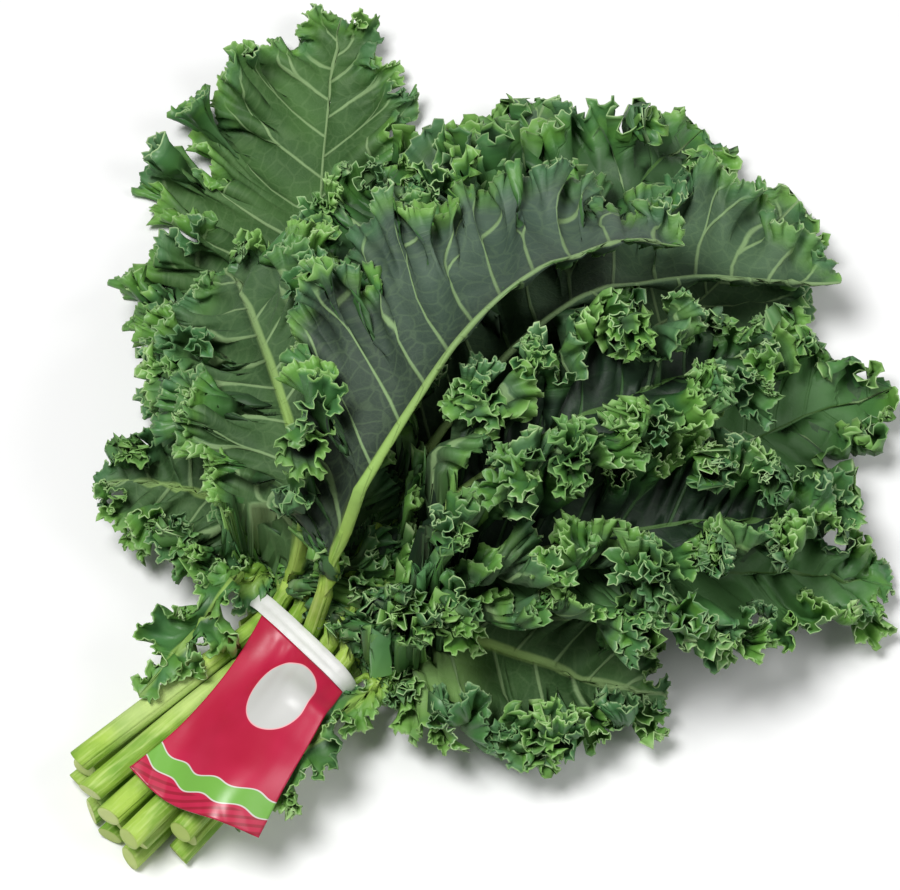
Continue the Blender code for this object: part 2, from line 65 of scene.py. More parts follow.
TIE_WIDTH = 10 * MM
TIE_THICKNESS = 1.0 * MM
GAP = 0.4 * MM  # between the stalks and the tie
STEM_WIDTH = 10.6 * MM  # of a full-grown leaf's stalk in the tie
STEM_DEPTH = 9.8 * MM
STEM_PITCH_Y = 11.2 * MM  # from one stalk's middle to the next one's in its row
STEM_PITCH_Z = 11.2 * MM  # from row to row
CUT_END_SIZE = 1.2  # of a stalk at its cut end, to its size in the tie
CUT_FLARE_Y = 1.45  # the stalks' spread at their cut ends, to that in the tie
CUT_FLARE_Z = 1.12
FLARE_WITHIN = 30 * MM  # behind the tie, along which they turn aside
PAST_TIP = 30 * MM  # by which a midrib's line runs on
FULL_HALF_WIDTH = 52  # of a full-grown leaf's blade, in mm
LEAST_SIZE = 0.1  # of a leaf with no blade, next to a full-grown one
SOLID_THICKNESS = 1.0 * MM  # of a blade's solid
RIB_HALF_WIDTH = 3.2 * MM
MOST_RIB_SHARE = 0.3  # of a blade's half width that its midrib takes up
LEAST_HALF_WIDTH = 6 * MM  # that a blade counts as having there
LEAST_RIB = 1.6 * MM  # height of a midrib above the middle of its blade
RIB_THINNING = 0.86  # share of its size that a midrib has lost at the tip
VEIN_ANGLE = math.radians(58)  # between the midrib and the side veins
OUTLINE_POINTS = 801
RUFFLE_WAVE = 44 * MM  # along the margin of the blade laid flat
RUFFLE_RISE = 10 * MM
RUFFLE_FROM = 0.25  # share of the way out to the margin
RUFFLE_PUSH = 0.28  # by which crests shift along the margin, to their rise
SWELL_WAVE = 118 * MM  # of the broad waves that the whole blade makes
SWELL_RISE = 5 * MM
LOBE_DEPTH = 0.2  # of the notches between lobes, to the blade's half width
BASE_WIDTH = 0.14  # of a blade where it starts, to its greatest width
BASE_MERGE = 34 * MM  # along which a stalk at most turns into a blade
FOLD_EASE = 0.45  # share of its fold that a blade has lost at the tip
RAY_SHARES = (0.5, 0.8, 1.0)  # places of a solid's columns between the midrib's edge and the margin
COLUMNS = 1 + len(RAY_SHARES)  # of a solid's grid, on each side of the midrib
CELL = 2 * MM  # of the maps of heights over the table
MAP_LOW = np.array([-0.2, -0.35])  # x and y of their first cell's corner
MAP_CELLS = 350  # each way
EDGE_PARTS = 10  # into which a triangle's edges are cut to measure heights over it
BEND_WITHIN = 26 * MM  # of a point that is lifted, where the rest bends with it
CLEARANCE = 1.4 * MM  # kept above what a leaf lies on
MOST_DROP = 40 * MM

# A leaf's driving values. place is its stalk's place in the tie (row from the table, place from
# the left) and heading the way it fans out from the tie, in degrees to the left of +X, reached
# within turn mm; sweep is its further turn within the blade. stalk is the length from the tie to
# the cut end, blade_from and reach are the distances from the tie, along the midrib, to the
# blade's start and tip, and half_width is the blade's, in mm; lean is the share by which the
# left half is wider. climb and droop are the midrib's slopes near the tie and at the tip, fold
# the angles at which the left and right halves leave the midrib and curl how far they bend on
# from there, in degrees. back_up is true where the blade's underside faces up.
Leaf = namedtuple(
    "Leaf",
    "name place heading turn sweep stalk blade_from reach half_width lean climb droop fold curl"
    " back_up rows seed",
)
LEAVES = [
    Leaf("leaf_01", (0, 0), 66, 60, 44, 126, 34, 184, 50, 0, 3, -3, (10, 8), (8, 6), True, 26, 1),
    Leaf("leaf_02", (0, 1), 53, 75, -20, 131, 62, 380, 88, 0.2, 3, 2, (6, 8), (4, 8), True, 36, 2),
    Leaf("leaf_03", (0, 2), 26, 75, 2, 133, 78, 354, 70, 0, 3, 2, (8, 8), (6, 6), True, 32, 3),
    Leaf("leaf_04", (0, 3), 3, 75, -3, 134, 78, 372, 78, 0, 3, 2, (8, 8), (6, 6), True, 34, 4),
    Leaf("leaf_05", (0, 4), -16, 75, -3, 116, 66, 338, 76, 0, 3, 2, (10, 6), (6, 6), False, 32, 5),
    Leaf("leaf_06", (1, 0), 96, 55, 56, 120, 24, 156, 46, 0, 8, -6, (14, 10), (10, 6), True, 24, 6),
    Leaf("leaf_07", (1, 1), 10, 75, -2, 126, 80, 368, 74, 0, 6, 0, (10, 10), (6, 6), False, 30, 7),
    Leaf("leaf_08", (1, 4), -62, 58, 14, 108, 18, 178, 54, -0.1, 6, -6, (8, -20), (6, -8), True, 28, 8),
    Leaf("leaf_09", (1, 3), -40, 75, -4, 128, 62, 304, 64, 0, 5, 0, (18, 12), (8, 8), False, 32, 9),
    Leaf("leaf_10", (1, 2), 10, 75, -64, 128, 90, 352, 66, 0.3, 10, -4, (0, -50), (-6, -30), True, 36, 10),
    Leaf("leaf_11", (2, 4), -32, 70, -4, 112, 30, 268, 54, 0, 6, 2, (40, 40), (8, 8), False, 32, 11),
    Leaf("leaf_12", (2, 3), -14, 70, 0, 132, 34, 276, 52, 0, 7, 2, (36, 36), (6, 6), False, 32, 12),
    Leaf("leaf_13", (2, 1), 36, 70, 6, 129, 34, 246, 54, 0, 8, -4, (12, 8), (6, 6), False, 32, 13),
    Leaf("leaf_14", (2, 0), 60, 60, 8, 122, 33, 196, 56, 0, 10, -10, (0, 4), (-14, 6), True, 30, 34),
    Leaf("leaf_15", (2, 2), 14, 75, -54, 131, 50, 268, 60, 0.46, 18, -8, (-6, -90), (-8, -20), True, 36, 15),
    Leaf("leaf_16", (1, -0.77), 186, 30, 0, 12, 34, 114, 17, 0, 0, 0, (6, 6), (4, 4), False, 12, 16),
    Leaf("leaf_17", (1, 4.77), -176, 30, 0, 12, 46, 128, 16, 0, 0, 0, (6, 6), (4, 4), False, 12, 17),
]


def ramp(value, low, high):
    """Smooth step from 0 at low to 1 at high."""
    t = np.clip((np.asarray(value, float) - low) / (high - low), 0, 1)
    return t * t * (3 - 2 * t)


class Wave:
    """A seeded, smooth, irregular wave along a leaf's margin, continuous round its tip.

    Three slow waves shift its crests to and fro, and two more make them higher and lower.
    """

    SHIFT = 0.7  # by each slow wave, in radians
    SHIFT_WAVES = (2.2, 4.5)  # least and greatest length of a slow wave, to this one's
    BEAT = 0.2  # share of the height, by each of the two more
    BEAT_WAVES = (1.6, 3.4)

    def __init__(self, draw, length):
        self.length = length
        self.start = draw.uniform(0, TURN)
        self.shifts = [(draw.uniform(*self.SHIFT_WAVES), draw.uniform(0, TURN)) for _ in range(3)]
        self.beats = [(draw.uniform(*self.BEAT_WAVES), draw.uniform(0, TURN)) for _ in range(2)]

    def phase(self, along):
        turned = TURN * along / self.length
        shift = sum(self.SHIFT * np.sin(turned / n + p) for n, p in self.shifts)
        return self.start + turned + shift

    def size(self, along):
        turned = TURN * along / self.length
        return 1 + sum(self.BEAT * np.sin(turned / n + p) for n, p in self.beats)

    def rise(self, along):
        return self.size(along) * np.sin(self.phase(along))

    def push(self, along):
        """Sideways shift that fattens each crest, as in a frill."""
        return np.sin(2 * self.phase(along))


class Shape:
    """The surface of one leaf, before it settles on those below it."""

    def __init__(self, leaf, base_width=BASE_WIDTH, rib_taper=0.0, slim=0.0, lobe_depth=LOBE_DEPTH):
        self.leaf = leaf
        self.base_width = base_width
        self.rib_taper = rib_taper
        self.lobe_depth = lobe_depth
        self.slim = slim  # share by which the stalk narrows beyond the tie
        self.side_length = (leaf.reach - leaf.blade_from) * MM
        self.half_width = leaf.half_width * MM
        self.size = min(1, LEAST_SIZE + leaf.half_width / FULL_HALF_WIDTH)  # to a full-grown leaf's
        draw = random.Random(leaf.seed)
        self.ruffle = Wave(draw, RUFFLE_WAVE * draw.uniform(0.9, 1.15))
        self.swell = Wave(draw, SWELL_WAVE * draw.uniform(0.9, 1.15))
        self.lobes = Wave(draw, RUFFLE_WAVE * draw.uniform(0.9, 1.1))
        self.trace_midrib()
        self.trace_margin()

    def trace_midrib(self):
        """Integrates the midrib's heading and slope both ways from the tie."""
        leaf = self.leaf
        step = 1 * MM
        row, place = leaf.place
        tie_y = (2 - place) * STEM_PITCH_Y
        tie_z = TIE_THICKNESS + GAP + STEM_DEPTH / 2 + row * STEM_PITCH_Z
        reach = leaf.reach * MM
        turn = leaf.turn * MM
        ahead = np.arange(0, reach + PAST_TIP, step)
        heading = math.radians(leaf.heading) * ramp(ahead, 6 * MM, turn)
        swept = np.clip((ahead - turn / 2) / reach, 0, 2) ** 1.5
        heading = heading + math.radians(leaf.sweep) * swept
        climb, droop = math.radians(leaf.climb), math.radians(leaf.droop)
        slope = climb + (droop - climb) * ramp(ahead, turn * 0.6, reach)
        slope = slope * ramp(ahead, -10 * MM, 34 * MM)
        stalk = leaf.stalk * MM
        behind = np.arange(step, stalk + step, step)
        spread = ramp(behind, 0, FLARE_WITHIN)
        back_heading = -math.atan(tie_y * (CUT_FLARE_Y - 1) / stalk) * spread
        back_slope = -math.atan(tie_z * (CUT_FLARE_Z - 1) / stalk) * spread * (row > 0)
        self.s = np.concatenate([-behind[::-1], ahead])
        self.heading = np.concatenate([back_heading[::-1], heading])
        self.slope = np.concatenate([back_slope[::-1], slope])
        level = np.cos(self.slope)
        way = [np.cos(self.heading) * level, np.sin(self.heading) * level, np.sin(self.slope)]
        line = np.cumsum(np.stack(way, 1), 0) * step
        line -= line[len(behind)]
        self.line = line + (0, tie_y, tie_z)

    def at(self, s):
        """Midrib point and frame (along, left, up) at distance s from the tie."""
        pick = [np.interp(s, self.s, v) for v in (*self.line.T, self.heading, self.slope)]
        x, y, z, heading, slope = pick
        level = np.cos(slope)
        along = np.stack([np.cos(heading) * level, np.sin(heading) * level, np.sin(slope)], -1)
        left = np.stack([-np.sin(heading), np.cos(heading), np.zeros_like(heading)], -1)
        return np.stack([x, y, z], -1), along, left, np.cross(along, left)

    def trace_margin(self):
        """The flat outline of one half, by share of its margin's length: x, y and the midrib foot."""
        t = np.linspace(0, 1, OUTLINE_POINTS)
        full = np.sin(np.pi * np.clip(t / 1.16, 0, 1) ** 1.05)
        width = (self.base_width + (1 - self.base_width) * full) * np.sqrt(1 - t**6)
        width[-1] = 0
        x = self.leaf.blade_from * MM + self.side_length * t
        y = self.half_width * width * ramp(t, -0.12, 0.06)
        far = np.concatenate([[0], np.cumsum(np.hypot(np.diff(x), np.diff(y)))])
        foot = np.maximum(x - y / math.tan(VEIN_ANGLE), x[0] + 0.3 * (x - x[0]))
        self.margin = far, x, y, foot
        self.margin_length = far[-1]

    def flat(self, u, share, side):
        """The blade laid flat: distance along and out from the midrib, and along the margin."""
        leaf = self.leaf
        far, xs, ys, feet = self.margin
        from_base = u * self.margin_length
        x_edge, y_edge, foot = (np.interp(from_base, far, v) for v in (xs, ys, feet))
        along = side * (self.margin_length - from_base)
        notch = self.lobe_depth * (0.5 - 0.5 * self.lobes.rise(along)) ** 2 * ramp(u, 0.03, 0.2)
        outward = share * (1 - notch * ramp(share, 0.3, 1))
        x = foot + outward * (x_edge - foot)
        lean = leaf.lean * ramp(x, leaf.blade_from * MM, 0.5 * leaf.reach * MM)
        y = outward * y_edge * (1 + side * lean)
        return x, y, along

    def surface(self, u, share, side, calm):
        """The blade at margin share u (0 base, 1 tip) and ray share, on one side of the midrib.

        Gives points, the normals there before ruffling, and how far along the midrib they lie.
        calm is 1 where the ruffles are at their full size.
        """
        leaf = self.leaf
        x, y, along = self.flat(u, share, side)
        ends = ramp(u, 0.0, 0.22)
        middle, forward, left, up = self.at(x)
        fold_angle, curl_angle = (pair[0 if side > 0 else 1] for pair in (leaf.fold, leaf.curl))
        ease = 1 - FOLD_EASE * ramp(x, leaf.blade_from * MM, leaf.reach * MM)
        first = math.radians(fold_angle) * ease * ramp(y, -RIB_HALF_WIDTH, 3 * RIB_HALF_WIDTH)
        bend = math.radians(curl_angle) / self.half_width
        mean_angle = first + bend * y / 2
        angle = first + bend * y
        reach_out = (y * np.cos(mean_angle))[..., None]
        reach_up = (y * np.sin(mean_angle))[..., None]
        point = middle + side * reach_out * left + reach_up * up
        normal = np.cos(angle)[..., None] * up - side * np.sin(angle)[..., None] * left
        ends = ends * calm
        frill = np.clip((share - RUFFLE_FROM) / (1 - RUFFLE_FROM), 0, 1) ** 1.5 * ends
        rise = RUFFLE_RISE * self.size * frill * self.ruffle.rise(along)
        rise = rise + SWELL_RISE * self.size * share**1.2 * ends * self.swell.rise(along)
        shift = RUFFLE_PUSH * RUFFLE_RISE * self.size * frill * self.ruffle.push(along)
        return point + rise[..., None] * normal + side * shift[..., None] * forward, normal, x


def rib_share(shape, blade_u):
    """Ray share at which the midrib's edge lies."""
    far, _, ys, _ = shape.margin
    far_y = np.interp(blade_u * shape.margin_length, far, ys)
    half_width = RIB_HALF_WIDTH * (1 - shape.rib_taper * np.sqrt(blade_u))
    return np.minimum(MOST_RIB_SHARE, half_width / np.maximum(far_y, LEAST_HALF_WIDTH))


def ray_share(shape, blade_u, column):
    """Ray share of a column: 0 is the midrib's middle, 1 its edge and COLUMNS the margin."""
    knots = [np.zeros_like(blade_u), rib_share(shape, blade_u)]
    knots += [np.full_like(blade_u, share) for share in RAY_SHARES]
    inner = min(int(column), COLUMNS - 1)
    return knots[inner] + (column - inner) * (knots[inner + 1] - knots[inner])


def leaf_grid(shape, stalk_s, blade_u, columns, rib_rise, half_thickness, calm):
    """Mid points on rows by columns, the offsets to the upper and lower faces, and distances.

    rib_rise gives the share of the midrib's rise that each column has.
    """
    leaf = shape.leaf
    start = leaf.blade_from * MM
    far, _, _, feet = shape.margin
    foot = np.interp(blade_u * shape.margin_length, far, feet)
    row_s = np.concatenate([stalk_s, foot])
    cut_end = 1 + (CUT_END_SIZE - 1) * ramp(-row_s, 10 * MM, 80 * MM)
    thinned = RIB_THINNING * ramp(row_s, -40 * MM, leaf.reach * MM) ** 0.8
    size = shape.size * cut_end * (1 - thinned)
    size = size * (1 - shape.slim * ramp(row_s, 8 * MM, 55 * MM))
    middle, _, left, up = shape.at(row_s)
    mid = np.zeros((len(row_s), len(columns), 3))
    over = np.zeros_like(mid)
    under = np.zeros_like(mid)
    distance = np.repeat(row_s[:, None], len(columns), 1)
    merge = min(BASE_MERGE, 0.3 * shape.side_length)
    rows = slice(len(stalk_s), None)
    ridge = np.maximum(LEAST_RIB, STEM_DEPTH * 0.75 * size[rows])
    ridge = ridge * (1 - 0.5 * shape.rib_taper * blade_u)
    for i, column in enumerate(columns):
        side = 1 if column >= 0 else -1
        turn = math.pi / 2 * abs(column) / COLUMNS
        half_y = side * STEM_WIDTH / 2 * size * math.sin(turn)
        half_z = np.maximum(STEM_DEPTH / 2 * size * math.cos(turn), half_thickness)
        mid[:, i] = middle + half_y[:, None] * left
        over[:, i], under[:, i] = half_z[:, None] * up, -half_z[:, None] * up
        share = ray_share(shape, blade_u, abs(column))
        point, normal, x = shape.surface(blade_u, share, side, calm)
        thick = np.full(len(blade_u), half_thickness)
        rib = thick + (ridge - thick) * rib_rise[i]
        above, below = (rib, thick) if leaf.back_up else (thick, rib)
        distance[rows, i] = x
        b = ramp(x, start - 1 * MM, start + merge * (1 - 0.2 * abs(column)))[:, None]
        mid[rows, i] = (1 - b) * mid[rows, i] + b * point
        over[rows, i] = (1 - b) * over[rows, i] + b * above[:, None] * normal
        under[rows, i] = (1 - b) * under[rows, i] - b * below[:, None] * normal
    return mid, over, under, distance


def solid_faces(rows, stalk_rows):
    """Triangles of a solid's grid, as (row, column) corners, seen from above."""
    faces = []
    for k in range(2 * COLUMNS):
        fine = [abs(n - COLUMNS) >= COLUMNS - 1 for n in (k, k + 1)]
        r = 0
        while r < rows - 1:
            near = [(n, k) for n in (r, r + 1, r + 2)]
            far = [(n, k + 1) for n in (r, r + 1, r + 2)]
            if r < stalk_rows or all(fine):
                faces += [(near[0], near[1], far[1]), (near[0], far[1], far[0])]
                r += 1
                continue
            if fine[0]:
                faces += [(near[0], near[1], far[0]), (near[1], far[2], far[0])]
                faces += [(near[1], near[2], far[2])]
            elif fine[1]:
                faces += [(near[0], far[1], far[0]), (near[0], near[2], far[1])]
                faces += [(near[2], far[2], far[1])]
            else:
                faces += [(near[0], near[2], far[2]), (near[0], far[2], far[0])]
            r += 2
    return faces


def solid_normals(mid, faces):
    """Unit normals of a solid's mid surface at the grid's points."""
    corners = np.array(faces)
    a, b, c = (mid[corners[:, n, 0], corners[:, n, 1]] for n in range(3))
    face_normal = np.cross(b - a, c - a)
    total = np.zeros_like(mid)
    for n in range(3):
        np.add.at(total, (corners[:, n, 0], corners[:, n, 1]), face_normal)
    for k in range(1, COLUMNS + 1):
        both = (COLUMNS + k, COLUMNS - k)
        total[-1, both] = total[-1, both].sum(0)
    return total / np.maximum(np.linalg.norm(total, axis=2, keepdims=True), 1e-12)


def map_cell(points):
    """The cell of a map of heights in which each point stands, as its two indices."""
    cell = ((points[..., :2] - MAP_LOW) / CELL).astype(int)
    return tuple(np.moveaxis(np.clip(cell, 0, MAP_CELLS - 1), -1, 0))


def spread_points(points, faces):
    """Points spread evenly over each triangle."""
    a, b, c = (points[faces[:, n]] for n in range(3))
    steps = range(EDGE_PARTS + 1)
    weights = [(i / EDGE_PARTS, j / EDGE_PARTS) for i in steps for j in steps[: len(steps) - i]]
    u, v = np.array(weights).T[..., None]
    return a[:, None] * (1 - u - v) + b[:, None] * u + c[:, None] * v


class HeightMap:
    """Height of what has been laid down so far, on a grid of cells over the table."""

    def __init__(self):
        self.top = np.zeros((MAP_CELLS, MAP_CELLS))

    def add(self, points, faces):
        """Raises the map to a mesh, which reaches two cells beyond its own edges there."""
        spots = spread_points(points, faces)
        top = np.zeros_like(self.top)
        np.maximum.at(top, map_cell(spots), spots[..., 2])
        for _ in range(2):
            shifted = [np.roll(top, (dx, dy), (0, 1)) for dx in (-1, 0, 1) for dy in (-1, 0, 1)]
            top = np.max(shifted, 0)
        self.top = np.maximum(self.top, top)

    def need(self, points, faces):
        """For each point, the lift that clears the map below every triangle at that point."""
        spots = spread_points(points, faces)
        floor = self.top[map_cell(spots)]
        clear = np.where(floor > 0, CLEARANCE, 0)
        short = (floor + clear - spots[..., 2]).max(1)
        need = np.full(len(points), -1.0)
        for n in range(3):
            np.maximum.at(need, faces[:, n], short)
        return need


def lie_on(table, points, faces, free, bend_within=BEND_WITHIN):
    """The lifts (or drops) with which points clear what is below, bending smoothly.

    free is the share of its lift that each point may take.
    """
    used = np.unique(faces)
    need = np.maximum(table.need(points, faces)[used], -MOST_DROP)
    spot = points[used, :2]
    apart = np.linalg.norm(spot[:, None] - spot[None], axis=2)
    near = apart < bend_within
    most = np.where(near, need[None], -1).max(1)
    weight = np.where(near, (1 - (apart / bend_within) ** 2) ** 2, 0)
    lift = np.zeros(len(points))
    lift[used] = (weight * most[None]).sum(1) / weight.sum(1)
    return lift * free


def settle(shape, table):
    """The distances of a solid's rows along its stalk, and the lifts of its grid's points."""
    leaf = shape.leaf
    clear = TIE_WIDTH / 2 + 2 * MM
    start = leaf.blade_from * MM
    behind = np.linspace(shape.s[0], -16 * MM, 3)
    stalk_s = np.concatenate([behind, [clear, clear + (start - clear) / 2]])
    blade_u = np.linspace(0, 1, leaf.rows + 1)
    columns = np.arange(-COLUMNS, COLUMNS + 1)
    rib_rise = (columns == 0).astype(float)
    grid = leaf_grid(shape, stalk_s, blade_u, columns, rib_rise, SOLID_THICKNESS / 2, 1)
    mid, over, under, distance = grid
    for k in range(1, COLUMNS + 1):
        both = (COLUMNS + k, COLUMNS - k)
        mid[-1, both] = mid[-1, both].mean(0)
    faces = solid_faces(len(mid), len(stalk_s))
    normals = solid_normals(mid, faces)
    rows = slice(len(stalk_s) + 4, None)
    for offset, way in ((over, 1), (under, -1)):
        size = np.linalg.norm(offset[rows], axis=2, keepdims=True)
        offset[rows] = way * normals[rows] * size
    index = np.arange(mid.shape[0] * mid.shape[1]).reshape(mid.shape[:2])
    flat_faces = index[tuple(np.array(faces).transpose(2, 0, 1))]
    lowest = np.minimum(over[..., 2], under[..., 2])
    points = np.concatenate([mid[..., :2], (mid[..., 2] + lowest)[..., None]], 2).reshape(-1, 3)
    first = (14 - 3.5 * leaf.place[0]) * MM
    free = ramp(distance, first, first + 35 * MM).ravel()
    lift = lie_on(table, points, flat_faces, free).reshape(mid.shape[:2])
    mid[..., 2] += lift
    highest = mid[..., 2] + np.maximum(over[..., 2], under[..., 2])
    table.add(np.concatenate([mid[..., :2], highest[..., None]], 2).reshape(-1, 3), flat_faces)
    inner = slice(2, 2 * COLUMNS - 1)  # these columns have a point in every other row of the blade
    odd = np.arange(len(stalk_s) + 1, len(mid) - 1, 2)
    lift[odd, inner] = (lift[odd - 1, inner] + lift[odd + 1, inner]) / 2
    return stalk_s, lift


table = HeightMap()
settled = []
for leaf in LEAVES:
    shape = Shape(leaf)
    settled.append((shape, *settle(shape, table)))


# ---- The ribbon tie ------------------------------------------------------------------------------
# A white plastic ribbon with two soft wires sealed in it, which show as raised bands with a
# groove between them. It is wound once round the stalks, drawn tight and welded to itself.

SMALL_STALKS = 6 * MM  # room in the tie on each side for the two small leaves' stalks
TIE_CORNER = 11.5 * MM  # radius
TIE_CROWN = 2.8 * MM  # by which the tie's top bulges, in its middle
TIE_SHOULDER = 0.43 * TIE_CROWN  # by which it bulges at its corners
CORNER_STEP = 15  # degrees from point to point round a corner
WIRE_RISE = 0.35 * MM
RIBBON_GROOVE = 0.4 * MM
RIBBON_CRINKLE = 0.22 * MM
RIBBON_LENGTHS, RIBBON_ROUND = 210, 56  # points along the ribbon, and round its section
RIBBON_EDGE = 0.45  # radius of its rounded edges, to its thickness
RIBBON_FLOOR = 0.05 * MM  # the least height of its underside
RIBBON_LINES = 0.55 * MM  # from one of its fine lines to the next
RIBBON_CLEAN, RIBBON_DULL = (0.74, 0.74, 0.72), (0.64, 0.64, 0.61)


def placed(name, data):
    """An object in the scene, with a mesh, a camera or a light as its data."""
    made = bpy.data.objects.new(name, data)
    bpy.context.scene.collection.objects.link(made)
    return made


class Value:
    """An output in a tree of nodes. Arithmetic on numbers adds Math nodes."""

    def __init__(self, tree, socket):
        self.tree = tree
        self.socket = socket

    def math(self, operation, *others):
        values = dict(enumerate((self, *others)))
        return self.tree.node("ShaderNodeMath", {"operation": operation}, values)

    def __add__(self, other):
        return self.math("ADD", other)

    def __sub__(self, other):
        return self.math("SUBTRACT", other)

    def __rsub__(self, other):
        return self.tree.node("ShaderNodeMath", {"operation": "SUBTRACT"}, {0: other, 1: self})

    def __mul__(self, other):
        return self.math("MULTIPLY", other)

    def __truediv__(self, other):
        return self.math("DIVIDE", other)

    def __abs__(self):
        return self.math("ABSOLUTE")

    __radd__ = __add__
    __rmul__ = __mul__

    def fade(self, low, high):
        """Smooth step of this value, from 0 at low to 1 at high."""
        settings = {"interpolation_type": "SMOOTHSTEP"}
        places = {0: self, 1: low, 2: high, 3: 0.0, 4: 1.0}
        return self.tree.node("ShaderNodeMapRange", settings, places)

    def fall(self, low, high):
        """1 up to low, and smoothly 0 from high on."""
        return 1 - self.fade(low, high)


class Tree:
    """A tree of nodes, for a material or for geometry."""

    def __init__(self, tree):
        self.tree = tree

    def node(self, kind, settings, values, output=0):
        """Adds a node, with its settings first and then its inputs, and gives one output."""
        made = self.tree.nodes.new(kind)
        for name, value in settings.items():
            setattr(made, name, value)
        for key, value in values.items():
            if isinstance(value, Value):
                self.tree.links.new(value.socket, made.inputs[key])
            else:
                made.inputs[key].default_value = value
        return Value(self, made.outputs[output])

    def split(self, vector):
        return [self.node("ShaderNodeSeparateXYZ", {}, {0: vector}, axis) for axis in "XYZ"]

    def noise(self, vector, scale, detail):
        places = {"Vector": vector, "Scale": scale, "Detail": detail}
        return self.node("ShaderNodeTexNoise", {}, places)


class Finish(Tree):
    """A material, with its tree of nodes."""

    def __init__(self, name):
        self.material = bpy.data.materials.new(name)
        self.material.use_nodes = True
        super().__init__(self.material.node_tree)
        self.surface = self.tree.nodes["Principled BSDF"]

    def attribute(self, name):
        return self.node("ShaderNodeAttribute", {"attribute_name": name}, {}, "Vector")

    def place(self):
        return self.node("ShaderNodeTexCoord", {}, {}, "Object")

    def bump(self, height, strength=1.0):
        """A normal for a surface that rises by height, in metres."""
        values = {"Height": height, "Distance": 1.0, "Strength": strength}
        return self.node("ShaderNodeBump", {}, values, "Normal")

    def mix(self, factor, one, other):
        """A colour between two colours, each a value or an (r, g, b)."""
        one, other = (c if isinstance(c, Value) else (*c, 1) for c in (one, other))
        return self.node("ShaderNodeMix", {"data_type": "RGBA"}, {0: factor, 6: one, 7: other}, 2)

    def set(self, **values):
        """Sets inputs of the shader itself, named with underscores for spaces."""
        for name, value in values.items():
            socket = self.surface.inputs[name.replace("_", " ")]
            if isinstance(value, Value):
                self.tree.links.new(value.socket, socket)
            else:
                socket.default_value = value


def ribbon_path():
    """The middle of the ribbon's thickness, as a loop in the plane of the tie."""
    half = 2 * STEM_PITCH_Y + STEM_WIDTH / 2 + SMALL_STALKS + GAP + TIE_THICKNESS
    top = 2 * STEM_PITCH_Z + STEM_DEPTH + 2 * GAP + 2 * TIE_THICKNESS
    inset = (TIE_THICKNESS - WIRE_RISE) / 2
    radius = TIE_CORNER - inset
    points = []
    for side, upper, start in ((1, False, -90), (1, True, 0), (-1, True, 90), (-1, False, 180)):
        y, z = side * (half - TIE_CORNER), top - TIE_CORNER if upper else TIE_CORNER
        for degrees in range(start, start + 91, CORNER_STEP):
            across, rise = math.cos(math.radians(degrees)), math.sin(math.radians(degrees))
            lift = TIE_SHOULDER * rise if upper else 0
            points.append((0, y + radius * across, z + radius * rise + lift))
        if side > 0 and upper:
            for share in (0.5, 0, -0.5):
                bulge = TIE_SHOULDER + (TIE_CROWN - TIE_SHOULDER) * (1 - share**2)
                points.append((0, share * (half - TIE_CORNER), top - inset + bulge))
    mesh = bpy.data.meshes.new("tie_ribbon")
    edges = [(n, (n + 1) % len(points)) for n in range(len(points))]
    mesh.from_pydata([PLACE + point for point in points], edges, [])
    return placed("tie_ribbon_path", mesh)


def ribbon_nodes():
    """Sweeps a ribbon with two raised bands along the path that it is given."""
    group = bpy.data.node_groups.new("ribbon", "GeometryNodeTree")
    inputs = ("Path", "Geometry"), ("Width", "Float"), ("Thickness", "Float"), ("Groove", "Float")
    for name, kind in (*inputs, ("Crinkle", "Float"), ("Material", "Material")):
        group.interface.new_socket(name, in_out="INPUT", socket_type="NodeSocket" + kind)
    group.interface.new_socket("Ribbon", in_out="OUTPUT", socket_type="NodeSocketGeometry")
    t = Tree(group)
    given = group.nodes.new("NodeGroupInput").outputs
    path, width, thickness, groove, crinkle, material = (Value(t, s) for s in given[:6])

    path = t.node("GeometryNodeMeshToCurve", {}, {"Mesh": path})
    path = t.node("GeometryNodeCurveSplineType", {"spline_type": "CATMULL_ROM"}, {"Curve": path})
    path = t.node("GeometryNodeResampleCurve", {}, {"Curve": path, "Count": RIBBON_LENGTHS})
    sizes = {"Width": width, "Height": thickness}
    profile = t.node("GeometryNodeCurvePrimitiveQuadrilateral", {}, sizes)
    corner = {"Curve": profile, "Count": 4, "Radius": thickness * RIBBON_EDGE}
    profile = t.node("GeometryNodeFilletCurve", {"mode": "POLY"}, corner)
    profile = t.node("GeometryNodeResampleCurve", {}, {"Curve": profile, "Count": RIBBON_ROUND})
    place = t.node("GeometryNodeInputPosition", {}, {})
    x, y, z = t.split(place)
    dip = groove * (0.5 + 0.5 * (x / width * (4 * math.pi)).math("COSINE"))
    inward = t.node("ShaderNodeCombineXYZ", {}, {1: y.math("SIGN") * dip * -1})
    profile = t.node("GeometryNodeSetPosition", {}, {"Geometry": profile, "Offset": inward})
    swept = t.node("GeometryNodeCurveToMesh", {}, {"Curve": path, "Profile Curve": profile})

    bump = (t.noise(place, 140.0, 2.0) - 0.5) * crinkle * 2
    normal = t.node("GeometryNodeInputNormal", {}, {})
    bump = t.node("ShaderNodeVectorMath", {"operation": "SCALE"}, {0: normal, "Scale": bump})
    swept = t.node("GeometryNodeSetPosition", {}, {"Geometry": swept, "Offset": bump})
    above = t.node("ShaderNodeCombineXYZ", {}, {0: x, 1: y, 2: z.math("MAXIMUM", RIBBON_FLOOR)})
    swept = t.node("GeometryNodeSetPosition", {}, {"Geometry": swept, "Position": above})
    swept = t.node("GeometryNodeRealizeInstances", {}, {0: swept})
    swept = t.node("GeometryNodeSetMaterial", {}, {"Geometry": swept, "Material": material})
    group.links.new(swept.socket, group.nodes.new("NodeGroupOutput").inputs["Ribbon"])
    return group


